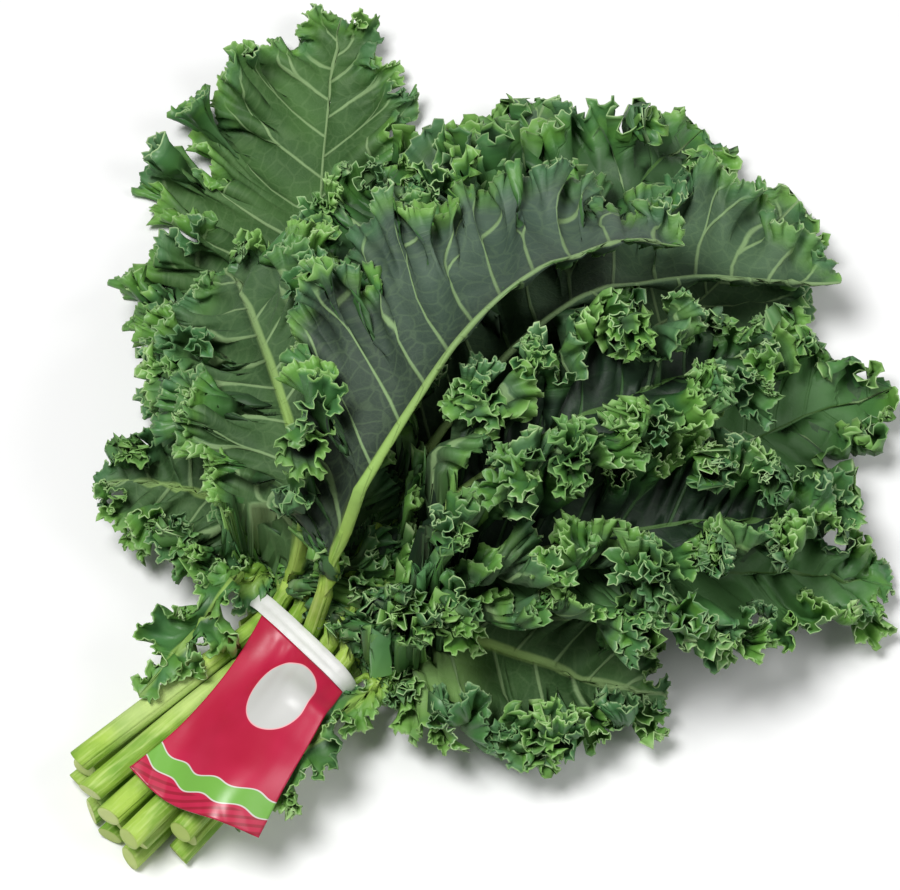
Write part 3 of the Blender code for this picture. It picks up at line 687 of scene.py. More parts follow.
def applied(holder, group, values, name):
    """A plain mesh object with what a tree of Geometry Nodes makes of the holder's mesh."""
    modifier = holder.modifiers.new(group.name, "NODES")
    modifier.node_group = group
    for item in group.interface.items_tree:
        if item.in_out == "INPUT" and item.name in values:
            modifier[item.identifier] = values[item.name]
    bpy.context.view_layer.update()
    evaluated = holder.evaluated_get(bpy.context.evaluated_depsgraph_get())
    mesh = bpy.data.meshes.new_from_object(evaluated)
    bpy.data.objects.remove(holder)
    mesh.name = name
    return placed(name, mesh)


def ribbon_finish():
    """White plastic with a soft gloss, and fine lengthwise lines."""
    f = Finish("white_ribbon")
    place = f.place()
    x, _, _ = f.split(place)
    lines = (x * (TURN / RIBBON_LINES)).math("SINE")
    soil = f.noise(place, 90.0, 3.0)
    f.set(Base_Color=f.mix(soil.fade(0.35, 0.7), RIBBON_CLEAN, RIBBON_DULL))
    f.set(Normal=f.bump(lines * 0.02 * MM + soil * 0.2 * MM), Roughness=0.38, IOR=1.48)
    return f.material


ribbon_values = {
    "Width": TIE_WIDTH,
    "Thickness": TIE_THICKNESS + WIRE_RISE,
    "Groove": RIBBON_GROOVE,
    "Crinkle": RIBBON_CRINKLE,
    "Material": ribbon_finish(),
}
ribbon = applied(ribbon_path(), ribbon_nodes(), ribbon_values, "tie_ribbon")
ribbon.data.shade_smooth()
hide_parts("tie_band")
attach(ribbon, "root")


# ---- The label -----------------------------------------------------------------------------------
# A sheet of satin red film, caught under the tie by its top edge and gathered a little there. It
# lies over the stalks and curls up at one corner. Its print is plain: a blank pale oval, a green
# band between two pale lines, and darker stripes along the free edge.

FILM_THICKNESS = 0.42 * MM
LABEL_THICKNESS = 0.7 * MM  # of its solid
LABEL_LEFT = 103 * MM  # its length from the tie, down its left edge
LABEL_RIGHT = 84 * MM
LABEL_SPAN = (64 * MM, 94 * MM)  # about how wide and how long it lies
LABEL_NEAR = (22 * MM, -36 * MM)  # y of its left and right corners at the tie
LABEL_FAR = (8 * MM, -64 * MM)
LABEL_HOLLOW = 6 * MM  # by which its left edge curves in
LABEL_BULGE = 7 * MM  # by which its far edge curves out
LABEL_HEIGHT = 39 * MM  # of its crest, before it settles on the stalks
LABEL_CREST = (-6 * MM, 14 * MM)  # y of the crest's middle, and its half width
LABEL_SAG = 0.011 / MM  # how steeply it sags beside its crest
LABEL_FLARE = 5 * MM  # by which its far left corner stands up
LABEL_BEND_WITHIN = 18 * MM
LABEL_MOST_DROP = 4 * MM
SOLID_DOWN, SOLID_ACROSS = 11, 13  # points of its solid's grid
FINE_DOWN, FINE_ACROSS = 96, 80
GATHERS = (0.35 * MM, 16 * MM)  # their rise, and how far from the tie they fade
BUCKLES = 0.4 * MM  # rise of the soft waves in the sheet
CREASES = 0.8 * MM  # rise of the sharp ones near its free edge
# On the label's own map: the strips for its front and back, and the ends of the one for its edge
MAP_ACROSS, MAP_DOWN, MAP_BACK = (0.01, 0.99), (0.01, 0.48), (0, 0.49)
MAP_EDGE = (0.985, 0.995)

BACKING = (0.66, 0.62, 0.61)
RED_DEEP, RED_BRIGHT = (0.43, 0.008, 0.04), (0.51, 0.015, 0.062)
STRIPE_RED = (0.27, 0.006, 0.02)
STRIPE_PITCH, STRIPE_SLANT, STRIPES_TO = 4.4 * MM, 0.35, 9 * MM  # from the free edge
LINE_PALE, BAND_GREEN = (0.62, 0.6, 0.55), (0.17, 0.42, 0.06)
BAND_MIDDLE, BAND_HALF, LINE_HALF = 15 * MM, 4.7 * MM, 5.4 * MM
BAND_WAVE, BAND_SWING = 21 * MM, 1.2 * MM
OVAL_PALE, OVAL_RIM = (0.56, 0.56, 0.54), (0.85, 0.42, 0.45)
OVAL_MIDDLE = (-14 * MM, 26 * MM)  # from the label's crest, and from the tie
OVAL_HALF = (16 * MM, 21.5 * MM)
OVAL_TURN = math.radians(20)


def spline(knots, values, at):
    """Smooth curve through values (on their last axis) at the knots, read at the places in at."""
    slope = np.gradient(values, knots, axis=-1)
    i = np.clip(np.searchsorted(knots, at) - 1, 0, len(knots) - 2)
    gap = knots[i + 1] - knots[i]
    t = (at - knots[i]) / gap
    ends = values[..., i] * (2 * t**3 - 3 * t**2 + 1) + values[..., i + 1] * (3 * t**2 - 2 * t**3)
    slopes = slope[..., i] * (t**3 - 2 * t**2 + t) + slope[..., i + 1] * (t**3 - t**2)
    return ends + slopes * gap


def unit(vectors):
    return vectors / np.maximum(np.linalg.norm(vectors, axis=-1, keepdims=True), 1e-12)


def frames(points):
    """Unit vectors over a grid of points: towards the tip, to the left, and up from the blade."""
    along = unit(np.gradient(points, axis=0))
    up = unit(np.cross(along, np.gradient(points, axis=1)))
    return along, unit(np.cross(up, along)), up


def grid_corners(index):
    """The four corners of each cell of a grid of points."""
    return index[1:, :-1], index[:-1, :-1], index[:-1, 1:], index[1:, 1:]


def give(mesh, name, vectors):
    """Keeps a vector for each point of a mesh, which its material reads."""
    attribute = mesh.attributes.new(name, "FLOAT_VECTOR", "POINT")
    attribute.data.foreach_set("vector", vectors.astype(np.float32).ravel())


def lay_out(mesh, places):
    """Gives a mesh its own map, with the place on it of every corner of its faces."""
    uv = mesh.uv_layers.new(name="OFBake")
    uv.data.foreach_set("uv", places.astype(np.float32).ravel())


def label_grid(down, across):
    """The label's mid points, from its edge at the tie down, and from its right edge to its left."""
    grid = np.zeros((down, across, 3))
    near = TIE_WIDTH / 2 + GAP
    for i, v in enumerate(np.linspace(0, 1, down)):
        left_y, right_y = (a + (b - a) * v for a, b in zip(LABEL_NEAR, LABEL_FAR))
        left = np.array([-near - LABEL_LEFT * v, left_y - 4 * LABEL_HOLLOW * v * (1 - v)])
        right = np.array([-near - LABEL_RIGHT * v, right_y])
        for j, u in enumerate(np.linspace(0, 1, across)):
            spot = right + (left - right) * u
            spot[0] -= LABEL_BULGE * v * math.sin(math.pi * u)
            off_crest = max(0, abs(spot[1] - LABEL_CREST[0]) - LABEL_CREST[1])
            sag = LABEL_SAG * off_crest**2 * (1 - 0.3 * v)
            grid[i, j] = (*spot, LABEL_HEIGHT - sag + LABEL_FLARE * (u * v) ** 3)
    return grid


def settled_label():
    """The fine grid of the label, lifted on to the stalks as its solid is, and gathered."""
    points = label_grid(SOLID_DOWN, SOLID_ACROSS).reshape(-1, 3)
    index = np.arange(len(points)).reshape(SOLID_DOWN, SOLID_ACROSS)
    a, b, c, d = grid_corners(index)
    faces = np.concatenate([np.stack([a, b, c], -1), np.stack([a, c, d], -1)]).reshape(-1, 3)
    near = TIE_WIDTH / 2 + GAP
    free = ramp(-points[:, 0], near, near + 20 * MM)
    lift = lie_on(table, points - (0, 0, LABEL_THICKNESS / 2), faces, free, LABEL_BEND_WITHIN)
    lift = np.maximum(lift, -LABEL_MOST_DROP).reshape(SOLID_DOWN, SOLID_ACROSS)
    v, u = np.linspace(0, 1, FINE_DOWN), np.linspace(0, 1, FINE_ACROSS)
    lift = spline(np.linspace(0, 1, SOLID_DOWN), lift.T, v).T
    lift = spline(np.linspace(0, 1, SOLID_ACROSS), lift, u)
    grid = label_grid(FINE_DOWN, FINE_ACROSS)
    grid[..., 2] += lift
    v, u = v[:, None], u[None, :]
    across, down = u * LABEL_SPAN[0], v * LABEL_SPAN[1]
    gather = np.sin(across / (1.7 * MM) + 1.4 * np.sin(across / (6 * MM)))
    rise, fades = GATHERS
    grid[..., 2] += rise * gather * np.exp(-down / fades) * ramp(down, 0, 5 * MM)
    buckle = np.sin(down / (9 * MM) + 3 * u) * np.sin(across / (8 * MM) + 2 * v)
    grid[..., 2] += BUCKLES * buckle * ramp(v, 0.2, 0.6)
    crease = np.abs(np.sin(across / (3.1 * MM) + down / (4.5 * MM))) ** 0.7
    grid[..., 2] += CREASES * crease * ramp(v, 0.8, 1) * (0.4 + 0.6 * ramp(u, 0.55, 1))
    return grid


def label_object(grid):
    """The film: its front, its back and the edge between them, with what its print reads."""
    rows, columns = grid.shape[:2]
    up = frames(grid)[2]
    up = up * np.sign(up[..., 2:].mean())
    top, bottom = grid + up * FILM_THICKNESS / 2, grid - up * FILM_THICKNESS / 2
    count = rows * columns
    index = np.arange(count).reshape(rows, columns)
    front = np.stack(grid_corners(index), -1).reshape(-1, 4)
    rim = np.concatenate([index[0, ::-1], index[1:, 0], index[-1, 1:], index[-2:0:-1, -1]])
    edge = np.stack([rim, np.roll(rim, -1), np.roll(rim, -1) + count, rim + count], -1)
    quads = np.concatenate([front, front[:, ::-1] + count, edge])
    mesh = bpy.data.meshes.new("label_film")
    mesh.from_pydata(np.concatenate([top.reshape(-1, 3), bottom.reshape(-1, 3)]) + PLACE, [], quads)

    across = np.cumsum(np.linalg.norm(np.diff(grid, axis=1, prepend=grid[:, :1]), axis=-1), 1)
    down = np.cumsum(np.linalg.norm(np.diff(grid, axis=0, prepend=grid[:1]), axis=-1), 0)
    crest = [np.interp(LABEL_CREST[0], row_y, row) for row_y, row in zip(grid[..., 1], across)]
    across = across - np.array(crest)[:, None]
    sheet = np.stack([across, -grid[..., 0] - TIE_WIDTH / 2, down[-1:] - down], -1).reshape(-1, 3)
    side = np.zeros((2 * count, 3))
    side[:count, 0] = 1
    give(mesh, "sheet", np.concatenate([sheet, sheet]))
    give(mesh, "side", side)

    u, v = np.meshgrid(np.linspace(*MAP_ACROSS, columns), np.linspace(*MAP_DOWN, rows))
    flat = np.stack([u, v], -1).reshape(-1, 2)
    along = np.arange(len(rim) + 1) / len(rim)
    edge_u = np.stack([along[:-1], along[1:], along[1:], along[:-1]], -1)
    edge_v = np.broadcast_to(np.repeat(MAP_EDGE, 2), edge_u.shape)
    parts = flat[front], flat[front[:, ::-1]] + MAP_BACK, np.stack([edge_u, edge_v], -1)
    lay_out(mesh, np.concatenate([part.reshape(-1, 2) for part in parts]))
    mesh.shade_smooth()
    return placed("label_film", mesh)


def label_finish():
    """Satin film, printed on one side and pale on the other."""
    f = Finish("printed_film")
    across, down, to_far = f.split(f.attribute("sheet"))
    front, _, _ = f.split(f.attribute("side"))
    place = f.place()
    haze = f.noise(place, 30.0, 2.0)
    red = f.mix(haze.fade(0.3, 0.7), RED_DEEP, RED_BRIGHT)

    # Darker stripes along the free edge, slanting across it
    slant = ((to_far + across * STRIPE_SLANT) * (TURN / STRIPE_PITCH)).math("SINE")
    stripes = slant.fade(0.1, 0.5) * to_far.fall(STRIPES_TO - 0.5 * MM, STRIPES_TO + 0.5 * MM)
    printed = f.mix(stripes * 0.75, red, STRIPE_RED)
    # The green band, which waves, between two pale lines
    wave = BAND_SWING * (across * (TURN / BAND_WAVE)).math("SINE")
    off_band = abs(to_far - BAND_MIDDLE + wave)
    for half, colour in ((LINE_HALF, LINE_PALE), (BAND_HALF, BAND_GREEN)):
        printed = f.mix(off_band.fall(half - 0.1 * MM, half + 0.1 * MM), printed, colour)
    # The blank oval
    aside, below = across - OVAL_MIDDLE[0], down - OVAL_MIDDLE[1]
    side_way = (aside * math.cos(OVAL_TURN) + below * math.sin(OVAL_TURN)) / OVAL_HALF[0]
    down_way = (below * math.cos(OVAL_TURN) - aside * math.sin(OVAL_TURN)) / OVAL_HALF[1]
    off_oval = (side_way * side_way + down_way * down_way).math("SQRT")
    printed = f.mix(off_oval.fall(1.0, 1.012), printed, OVAL_RIM)
    printed = f.mix(off_oval.fall(0.97, 0.982), printed, OVAL_PALE)
    f.set(Base_Color=f.mix(front, BACKING, printed))
    height = haze * 0.35 * MM + f.noise(place, 420.0, 2.0) * 0.03 * MM
    f.set(Normal=f.bump(height), Roughness=0.36, IOR=1.46, Coat_Weight=0.2, Coat_Roughness=0.25)
    return f.material


label_sheet = settled_label()
label = label_object(label_sheet)
label.data.materials.append(label_finish())
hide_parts("label")
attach(label, "root")


# ---- The kale leaves -------------------------------------------------------------------------
# Curly kale: a tough green sheet with a waxy bloom, paler and greyer below, where its midrib and
# veins stand out. Its thin margin is crimped into lobes and teeth, and is a bright yellow-green,
# with a painted highlight along its rim. Painted shade darkens the inside of the upper faces, and
# the backs near the tie.
# Each leaf follows its solid, and stands for it.

STALK_STEP = 5 * MM  # from row to row of the stalk
FIRST_ROWS = 640  # of the blade, when its margin is first measured
MARGIN_STEP = 1.2 * MM  # between the points of a crimped margin
LEAST_STEP = 0.3  # the least that a row counts for there, to the rows' mean
HIDDEN_STEP = 3.6 * MM  # the same step on leaves that others cover
HIDDEN = ("leaf_03", "leaf_04", "leaf_05", "leaf_07")
# The grid's columns on each side, from the midrib's middle (0) over its edge (1) to the margin
# (COLUMNS), with the number of rows from each of their points to the next: a block of columns
# has half the points of the one outside it.
BLOCKS = [
    (32, (0, 0.3, 0.6, 0.85, 1.0)),
    (16, (1.3, 1.6)),
    (8, (1.9, 2.2)),
    (4, (2.5, 2.8)),
    (2, (3.05, 3.4, 3.72)),
    (1, (4.0,)),
]
half = [(column, stride) for stride, columns in BLOCKS for column in columns]
MIDDLE = len(half) - 1
FINE_COLUMNS = np.array([-column for column, _ in reversed(half[1:])] + [c for c, _ in half])
STRIDES = [stride for _, stride in reversed(half[1:])] + [stride for _, stride in half]
SIDES = np.where(FINE_COLUMNS < 0, -1.0, 1.0)[None, :]
# Each half: its side, its margin's column, and its columns from the midrib outwards
HALVES = [(1, -1, range(MIDDLE + 1, len(FINE_COLUMNS))), (-1, 0, range(MIDDLE - 1, -1, -1))]
RIB_EDGE_SHARE = 0.06  # of the way out to the margin, about where the midrib's edge lies
KNOTS = range(COLUMNS + 1)
OUTWARD = np.interp(np.abs(FINE_COLUMNS), KNOTS, (0, RIB_EDGE_SHARE, *RAY_SHARES))

# The frill's finer orders of ruffles: each one's wave length along the margin as it runs by then,
# its rise, how far in from the margin it begins, and by how much its crests reach out.
Order = namedtuple("Order", "wave rise deep reach")
ORDERS = [
    Order(31 * MM, 9.5 * MM, 44 * MM, 3.5 * MM),
    Order(12.5 * MM, 3.6 * MM, 18 * MM, 1.6 * MM),
    Order(6.2 * MM, 1.3 * MM, 7.5 * MM, 0.8 * MM),
    Order(3.9 * MM, 0.3 * MM, 2.5 * MM, 0.55 * MM),
]
COARSE_ORDERS = 2  # of these set how the margin's points are spread
CREST_PUSH = 0.3  # by which crests shift along the margin, to their rise
REACH_SHIFT = 0.7  # radians, past a quarter wave, from what reaches out to the crests
FRILL_SEED, CUT_SEED = 500, 900  # added to a leaf's seed
# By how many degrees the frill stands up from its blade, on the left half and on the right: on the
# average, and at most more or less than that.
STAND_FACE_UP = ((98, 32), (98, 32))
STAND_BACK_UP = ((15, 40), (15, 40))
STAND_OTHERS = {
    "leaf_01": ((55, 45), (55, 45)),
    "leaf_02": ((25, 55), (25, 55)),
    "leaf_06": ((55, 45), (55, 45)),
    "leaf_08": ((70, 40), (128, 18)),
    "leaf_14": ((60, 45), (35, 45)),
    "leaf_15": ((14, 32), (14, 32)),
}
STAND_FROM = 0.3  # share of the way out to the margin
SWAY_WAVE = 90 * MM  # from where a frill stands up the most to where it does so again
DEEPER_FACE_UP = 1.35  # how much further in the frill of a leaf that lies face up begins
LOBES_OTHERS = {"leaf_02": 0.33, "leaf_10": 0.3}  # depth of the notches between a leaf's lobes
# The height of a leaf's ruffles, to that of the others'
FRILL_OTHERS = {"leaf_02": 0.7, "leaf_09": 0.88, "leaf_10": 0.8, "leaf_14": 1.15, "leaf_15": 0.9}
FOLDED_UNDER = ("leaf_10", "leaf_15")  # leaves whose right half is folded under
FOLDED_FRILL = 0.3  # height of the ruffles on such a half
FOLD_UNDER = 0.5  # how far it runs back under the leaf, to how far it hangs down
STALK_TO_MARGIN = 60 * MM  # what counts there, as for the middle of a wide blade
NEARER = 26 * MM  # by which the frill starts nearer to the tie than the solid's blade
NEAREST = 16 * MM  # the least that it keeps clear of the tie
# Width of a blade where it starts, to its greatest, in each row of stalks from the table up
FRILL_BASE_WIDTH = (0.4, 0.4, 0.7)
LEAST_FRILL = 0.8  # size of a small leaf's ruffles, next to a full-grown leaf's
RIB_TAPER = 0.75  # share of its width that a midrib has lost at the tip
BASE_STAND = 0.35  # share by which the frill stands up where the blade begins
CURLED_BASES = {"leaf_15": 125}  # degrees by which its frill stands up more, close to the tie
CURL_ENDS = (34 * MM, 94 * MM)  # from the tie, between which that fades
STEEPEST = 1.1  # slope of a blade across its midrib, before its frill stands up
BASE_LEVEL = 60 * MM  # along which a blade, level with its midrib at first, comes to its solid's
SLIM = 0.3  # share by which a stalk narrows beyond the tie
CALM_WIDTH = 12 * MM  # half width at the tip, below which the solid's ruffles are smaller
BLISTER = 1.9 * MM  # by which the blade bulges between its side veins
PLEAT = 2.6 * MM  # by which it rises and dips from one side vein to the next
PLEAT_OTHERS = {"leaf_02": 4.6 * MM, "leaf_15": 3.4 * MM, "leaf_10": 3.6 * MM}
VEIN_SPACING = 21 * MM  # along the midrib
VEIN_AHEAD = 0.035  # share of the margin by which a side vein bends on towards the tip
VEIN_WANDER = (0.22, 0.07)  # slow and quick shifts of the side veins, in their spacing
FIRST_VEIN = 0.3
BULGE_FROM_RIB = (2 * MM, 14 * MM)  # where the bulges begin and where they are full
BULGE_FROM_MARGIN = (0, 26 * MM)
HALF_THICKNESS = 0.36 * MM  # of a blade
MARGIN_HALF_THICKNESS = 0.22 * MM
FLOOR_SOFTNESS = 1.1 * MM  # ruffles flatten where they meet the table
OBLIQUE = 0.35  # at most, the slope of a stalk's cut
CEILING_GAP = 0.8 * MM  # kept between a leaf and what lies on it
CEILING_PARTS = 8  # into which it is cut from column to column to be measured
CEILING_HEIGHT = 1.0  # in metres, where nothing lies on top
ROOM = (3 * MM, 22 * MM)  # above a frill: with the less it lies flat, with the more it is free
STRETCH = (1.3, 2.4)  # of a blade that climbs steeply: with the more it is drawn flat
FREEDOM_ROWS = 6  # over which a frill becomes free, or is held down
LEAST_FREEDOM = 0.2  # of ruffles that are held down, in the share of their height
PRESSED = 0.06  # share that is kept of the height by which a frill is pressed down
PRESS_SHIFTS = (1, 2, 4)  # rows by which a pressed place draws its neighbours down
PRESS_FADE = 0.94  # from each row to the next one


class Ceiling:
    """The lowest height of what lies on top of a leaf, on a grid of cells over the table."""

    def __init__(self):
        self.height = np.full((MAP_CELLS, MAP_CELLS), CEILING_HEIGHT)

    def add(self, grid):
        """Lowers the ceiling to a grid of points, measured finely between its columns."""
        for share in np.linspace(0, 1, CEILING_PARTS, endpoint=False):
            between = grid[:, :-1] + share * (grid[:, 1:] - grid[:, :-1])
            np.minimum.at(self.height, map_cell(between), between[..., 2])

    def room(self, points):
        """The height that is free above each point."""
        return np.maximum(self.height[map_cell(points)] - points[..., 2], 0)

    def press(self, points):
        """A grid of points, lowered to fit below the ceiling, and less and less beyond its edges."""
        limit = self.height[map_cell(points)] - CEILING_GAP
        above = np.maximum(points[..., 2] - limit, 0)
        wide = above
        for shift in PRESS_SHIFTS:
            before, after = np.roll(wide, shift, 0), np.roll(wide, -shift, 0)
            before[:shift], after[-shift:] = 0, 0
            wide = np.maximum(wide, PRESS_FADE**shift * np.maximum(before, after))
        lowered = points.copy()
        lowered[..., 2] -= (1 - PRESSED) * np.minimum(wide, np.maximum(above, points[..., 2]))
        return lowered


def averaged(values, reach):
    """Values, each averaged with those in as many rows before and after it as reach says."""
    total = np.cumsum(np.pad(values, ((reach + 1, reach), (0, 0)), "edge"), 0)
    return (total[2 * reach + 1 :] - total[: -2 * reach - 1]) / (2 * reach + 1)


class FineLeaf:
    """One leaf's fine grid, by row and column: where its points lie, and on which part of it."""

    def __init__(self, solid_shape, stalk_s, lifts, ceiling):
        solid_leaf = solid_shape.leaf
        nearer = max(NEAREST / MM, solid_leaf.blade_from - NEARER / MM)
        self.solid_shape, self.solid_s, self.lifts = solid_shape, stalk_s, lifts
        self.ceiling = ceiling
        self.leaf = solid_leaf._replace(blade_from=nearer)
        base_width = FRILL_BASE_WIDTH[self.leaf.place[0]]
        lobe_depth = LOBES_OTHERS.get(self.leaf.name, LOBE_DEPTH)
        self.shape = Shape(self.leaf, base_width, RIB_TAPER, SLIM, lobe_depth)
        self.size = max(LEAST_FRILL, self.shape.size)
        self.start = nearer * MM
        draw = random.Random(self.leaf.seed + FRILL_SEED)
        self.waves = [Wave(draw, order.wave * draw.uniform(0.9, 1.1)) for order in ORDERS]
        self.sway = Wave(draw, SWAY_WAVE)
        count = max(6, round((self.start - self.shape.s[0]) / STALK_STEP))
        self.stalk_s = np.linspace(self.shape.s[0], self.start, count)[:-1]
        self.rows = slice(len(self.stalk_s), None)  # of the blade
        self.lay(np.linspace(0, 1, FIRST_ROWS + 1), COARSE_ORDERS)
        self.lay(self.even_rows(), len(ORDERS))
        self.raise_blade()

    def lay(self, blade_u, orders):
        """Places the grid, with as many orders of ruffles as asked for."""
        self.blade_u = blade_u
        shape = self.shape
        rib_rise = np.sqrt(np.clip(1 - FINE_COLUMNS**2, 0, 1))
        half_width = np.interp(blade_u * shape.margin_length, shape.margin[0], shape.margin[2])
        calm = ramp(half_width, 0, CALM_WIDTH)
        grid = leaf_grid(shape, self.stalk_s, blade_u, FINE_COLUMNS, rib_rise, HALF_THICKNESS, calm)
        self.mid, self.over, self.under, distance = grid
        self.foot = distance[self.rows, MIDDLE]
        self.from_tie = np.concatenate([self.stalk_s, self.foot])
        self.mid[..., 2] += self.settled_lifts()
        self.limit_slopes()
        self.measure_flat()
        self.find_freedom()
        self.stand_up()
        for order, wave in list(zip(ORDERS, self.waves))[:orders]:
            self.ruffle(order, wave)

    def limit_slopes(self):
        """Lowers or raises what climbs or falls too steeply, from the midrib outwards."""
        for side, _, columns in HALVES:
            for column in columns:
                inner = self.mid[:, column - side]
                step = STEEPEST * np.linalg.norm((self.mid[:, column] - inner)[:, :2], axis=-1)
                height = np.clip(self.mid[:, column, 2], inner[:, 2] - step, inner[:, 2] + step)
                self.mid[:, column, 2] = height

    def find_freedom(self):
        """How freely each place stands up: from 0, pressed or drawn flat, to 1.

        It has no more room than the places from it to the margin have.
        """
        room = ramp(self.ceiling.room(self.mid), *ROOM)
        for columns in (slice(MIDDLE, None, -1), slice(MIDDLE, None)):
            inward = room[:, columns][:, ::-1]
            room[:, columns] = np.minimum.accumulate(inward, 1)[:, ::-1]
        steps = (np.gradient(v[..., :n], axis=1) for v, n in ((self.mid, 3), (self.flat, 2)))
        laid, flat = (np.linalg.norm(step, axis=-1) for step in steps)
        stretch = laid / np.maximum(flat, 0.1 * MM)
        self.freedom = averaged(room * (1 - ramp(stretch, *STRETCH)), FREEDOM_ROWS)

    def settled_lifts(self):
        """The lifts of the solid's grid, smoothly between its points."""
        first = len(self.solid_s)
        start = self.solid_shape.leaf.blade_from * MM
        solid_u = np.linspace(0, 1, 401)
        far, _, _, feet = self.solid_shape.margin
        solid_foot = np.interp(solid_u * self.solid_shape.margin_length, far, feet)
        outer = COLUMNS - len(RAY_SHARES) + 1  # the solid's columns that the lifts are read from
        known = np.delete(self.lifts, [COLUMNS - outer + 1, COLUMNS + outer - 1], 1)
        knots = np.array([-share for share in RAY_SHARES[::-1]] + [0, *RAY_SHARES])
        at_u = np.interp(self.foot, solid_foot, solid_u)
        in_blade = spline(np.linspace(0, 1, self.leaf.rows + 1), known[first:].T, at_u)
        solid_s = [*self.solid_s, start]
        lift = np.array([np.interp(self.from_tie, solid_s, v) for v in known[: first + 1].T])
        lift[:, self.rows] = np.where(self.foot > start, in_blade, lift[:, self.rows])
        beside = ramp(self.foot, self.start, self.start + BASE_LEVEL)
        level = lift[[len(RAY_SHARES)], self.rows]
        lift[:, self.rows] = level + beside * (lift[:, self.rows] - level)
        return spline(knots, lift.T, np.sign(FINE_COLUMNS) * OUTWARD)

    def measure_flat(self):
        """Places on the leaf laid flat, and the distances there to the margin."""
        flat = np.zeros_like(self.mid)
        for i, column in enumerate(FINE_COLUMNS):
            share = ray_share(self.shape, self.blade_u, abs(column))
            x, y, _ = self.shape.flat(self.blade_u, share, SIDES[0, i])
            flat[self.rows, i, 0], flat[self.rows, i, 1] = x, SIDES[0, i] * y
        stalk = slice(0, len(self.stalk_s))
        flat[stalk, :, 0] = self.stalk_s[:, None]
        flat[stalk, :, 1] = FINE_COLUMNS * STEM_WIDTH / 2 / COLUMNS
        edge = np.where(SIDES[..., None] < 0, flat[:, :1, :2], flat[:, -1:, :2])
        self.to_margin = np.linalg.norm(flat[..., :2] - edge, axis=-1)
        self.ray = np.linalg.norm(edge - flat[:, MIDDLE, None, :2], axis=-1)
        self.to_margin[stalk] = STALK_TO_MARGIN
        self.ray[stalk] = 0
        self.flat = flat

    def margin_way(self):
        """Distance from the tip along each side's margin as it now runs, less than 0 on the right."""
        ways = np.zeros(self.mid.shape[:2])
        for side, edge, _ in HALVES:
            steps = np.linalg.norm(np.diff(self.mid[:, edge], axis=0), axis=-1)
            steps[: len(self.stalk_s)] = 0
            way = side * np.cumsum(steps[::-1])[::-1, None]
            ways[:-1] = np.where(SIDES == side, way, ways[:-1])
        return ways

    def stand_up(self):
        """Bends the outer part of each half up, about a line that follows its margin."""
        usual = STAND_BACK_UP if self.leaf.back_up else STAND_FACE_UP
        halves = STAND_OTHERS.get(self.leaf.name, usual)
        mean, swing = (np.where(SIDES > 0, *values) for values in zip(*halves))
        share = np.clip(1 - self.to_margin / np.maximum(self.ray, 1 * MM), 0, 1)
        angle = np.radians(mean + swing * np.sin(self.sway.phase(self.margin_way())))
        self.folded = (SIDES < 0) & (self.leaf.name in FOLDED_UNDER)
        ease = ramp(share, STAND_FROM, 1.05) * ramp(self.ray, 6 * MM, 22 * MM)
        ease = np.where(self.folded, 0, ease)
        from_base = ramp(self.from_tie, self.start, self.start + BASE_LEVEL)[:, None]
        angle = angle * ease * self.freedom * (BASE_STAND + (1 - BASE_STAND) * from_base)
        curled = math.radians(CURLED_BASES.get(self.leaf.name, 0))
        curled = curled * (1 - ramp(self.from_tie, *CURL_ENDS))[:, None]
        angle = angle + curled * ease * self.freedom
        _, forward, left, _ = self.shape.at(self.from_tie)
        bent = self.mid.copy()
        fold = (self.folded * ramp(share, -0.1, 0.35))[..., None]
        tucked = unit(left * (1, 1, 0)) * FOLD_UNDER - (0, 0, 1)
        for side, edge, columns in HALVES:
            run = unit(np.gradient(self.flat[:, edge, :2], axis=0))
            run[: len(self.stalk_s)] = (1, 0)
            pin = run[:, :1] * forward + run[:, 1:] * left
            for column in columns:
                step = self.mid[:, column] - self.mid[:, column - side]
                turn = side * angle[:, column, None]
                level = (pin * step).sum(-1, keepdims=True)
                turned = step * np.cos(turn) + np.cross(pin, step) * np.sin(turn)
                turned = turned + pin * level * (1 - np.cos(turn))
                length = np.linalg.norm(step, axis=-1, keepdims=True)
                turned = unit(turned + fold[:, column] * (length * tucked - turned)) * length
                bent[:, column] = bent[:, column - side] + turned
        self.mid = bent

    def ruffle(self, order, wave):
        """Adds one order of ruffles, standing on the surface that there is."""
        along, across, up = frames(self.mid)
        way = self.margin_way()
        phase = wave.phase(way)
        deep = order.deep * (1 if self.leaf.back_up else DEEPER_FACE_UP)
        envelope = np.clip(1 - self.to_margin / (deep * self.size), 0, 1) ** 1.4
        wide = order.deep * min(1, self.shape.size + 0.15)
        envelope = envelope * ramp(self.ray, 0.05 * wide, 0.7 * wide)
        rise = order.rise * self.size * FRILL_OTHERS.get(self.leaf.name, 1)
        rise = rise * (LEAST_FREEDOM + (1 - LEAST_FREEDOM) * self.freedom)
        rise = np.where(self.folded, FOLDED_FRILL * rise, rise)
        moved = (rise * wave.size(way) * np.sin(phase))[..., None] * up
        moved += (SIDES * CREST_PUSH * rise * np.sin(2 * phase))[..., None] * along
        moved += (SIDES * order.reach * np.cos(phase + REACH_SHIFT))[..., None] * across
        self.mid = self.mid + envelope[..., None] * moved

    def even_rows(self):
        """The rows that divide the crimped margins evenly, in a whole number of wide blocks."""
        steps = np.linalg.norm(np.diff(self.mid[self.rows][:, [0, -1]], axis=0), axis=-1).max(1)
        steps = np.maximum(steps, LEAST_STEP * steps.mean())
        way = np.concatenate([[0], np.cumsum(steps)])
        wanted = HIDDEN_STEP if self.leaf.name in HIDDEN else MARGIN_STEP
        widest = BLOCKS[0][0]
        count = widest * math.ceil(way[-1] / wanted / widest)
        return np.interp(np.linspace(0, way[-1], count + 1), way, self.blade_u)

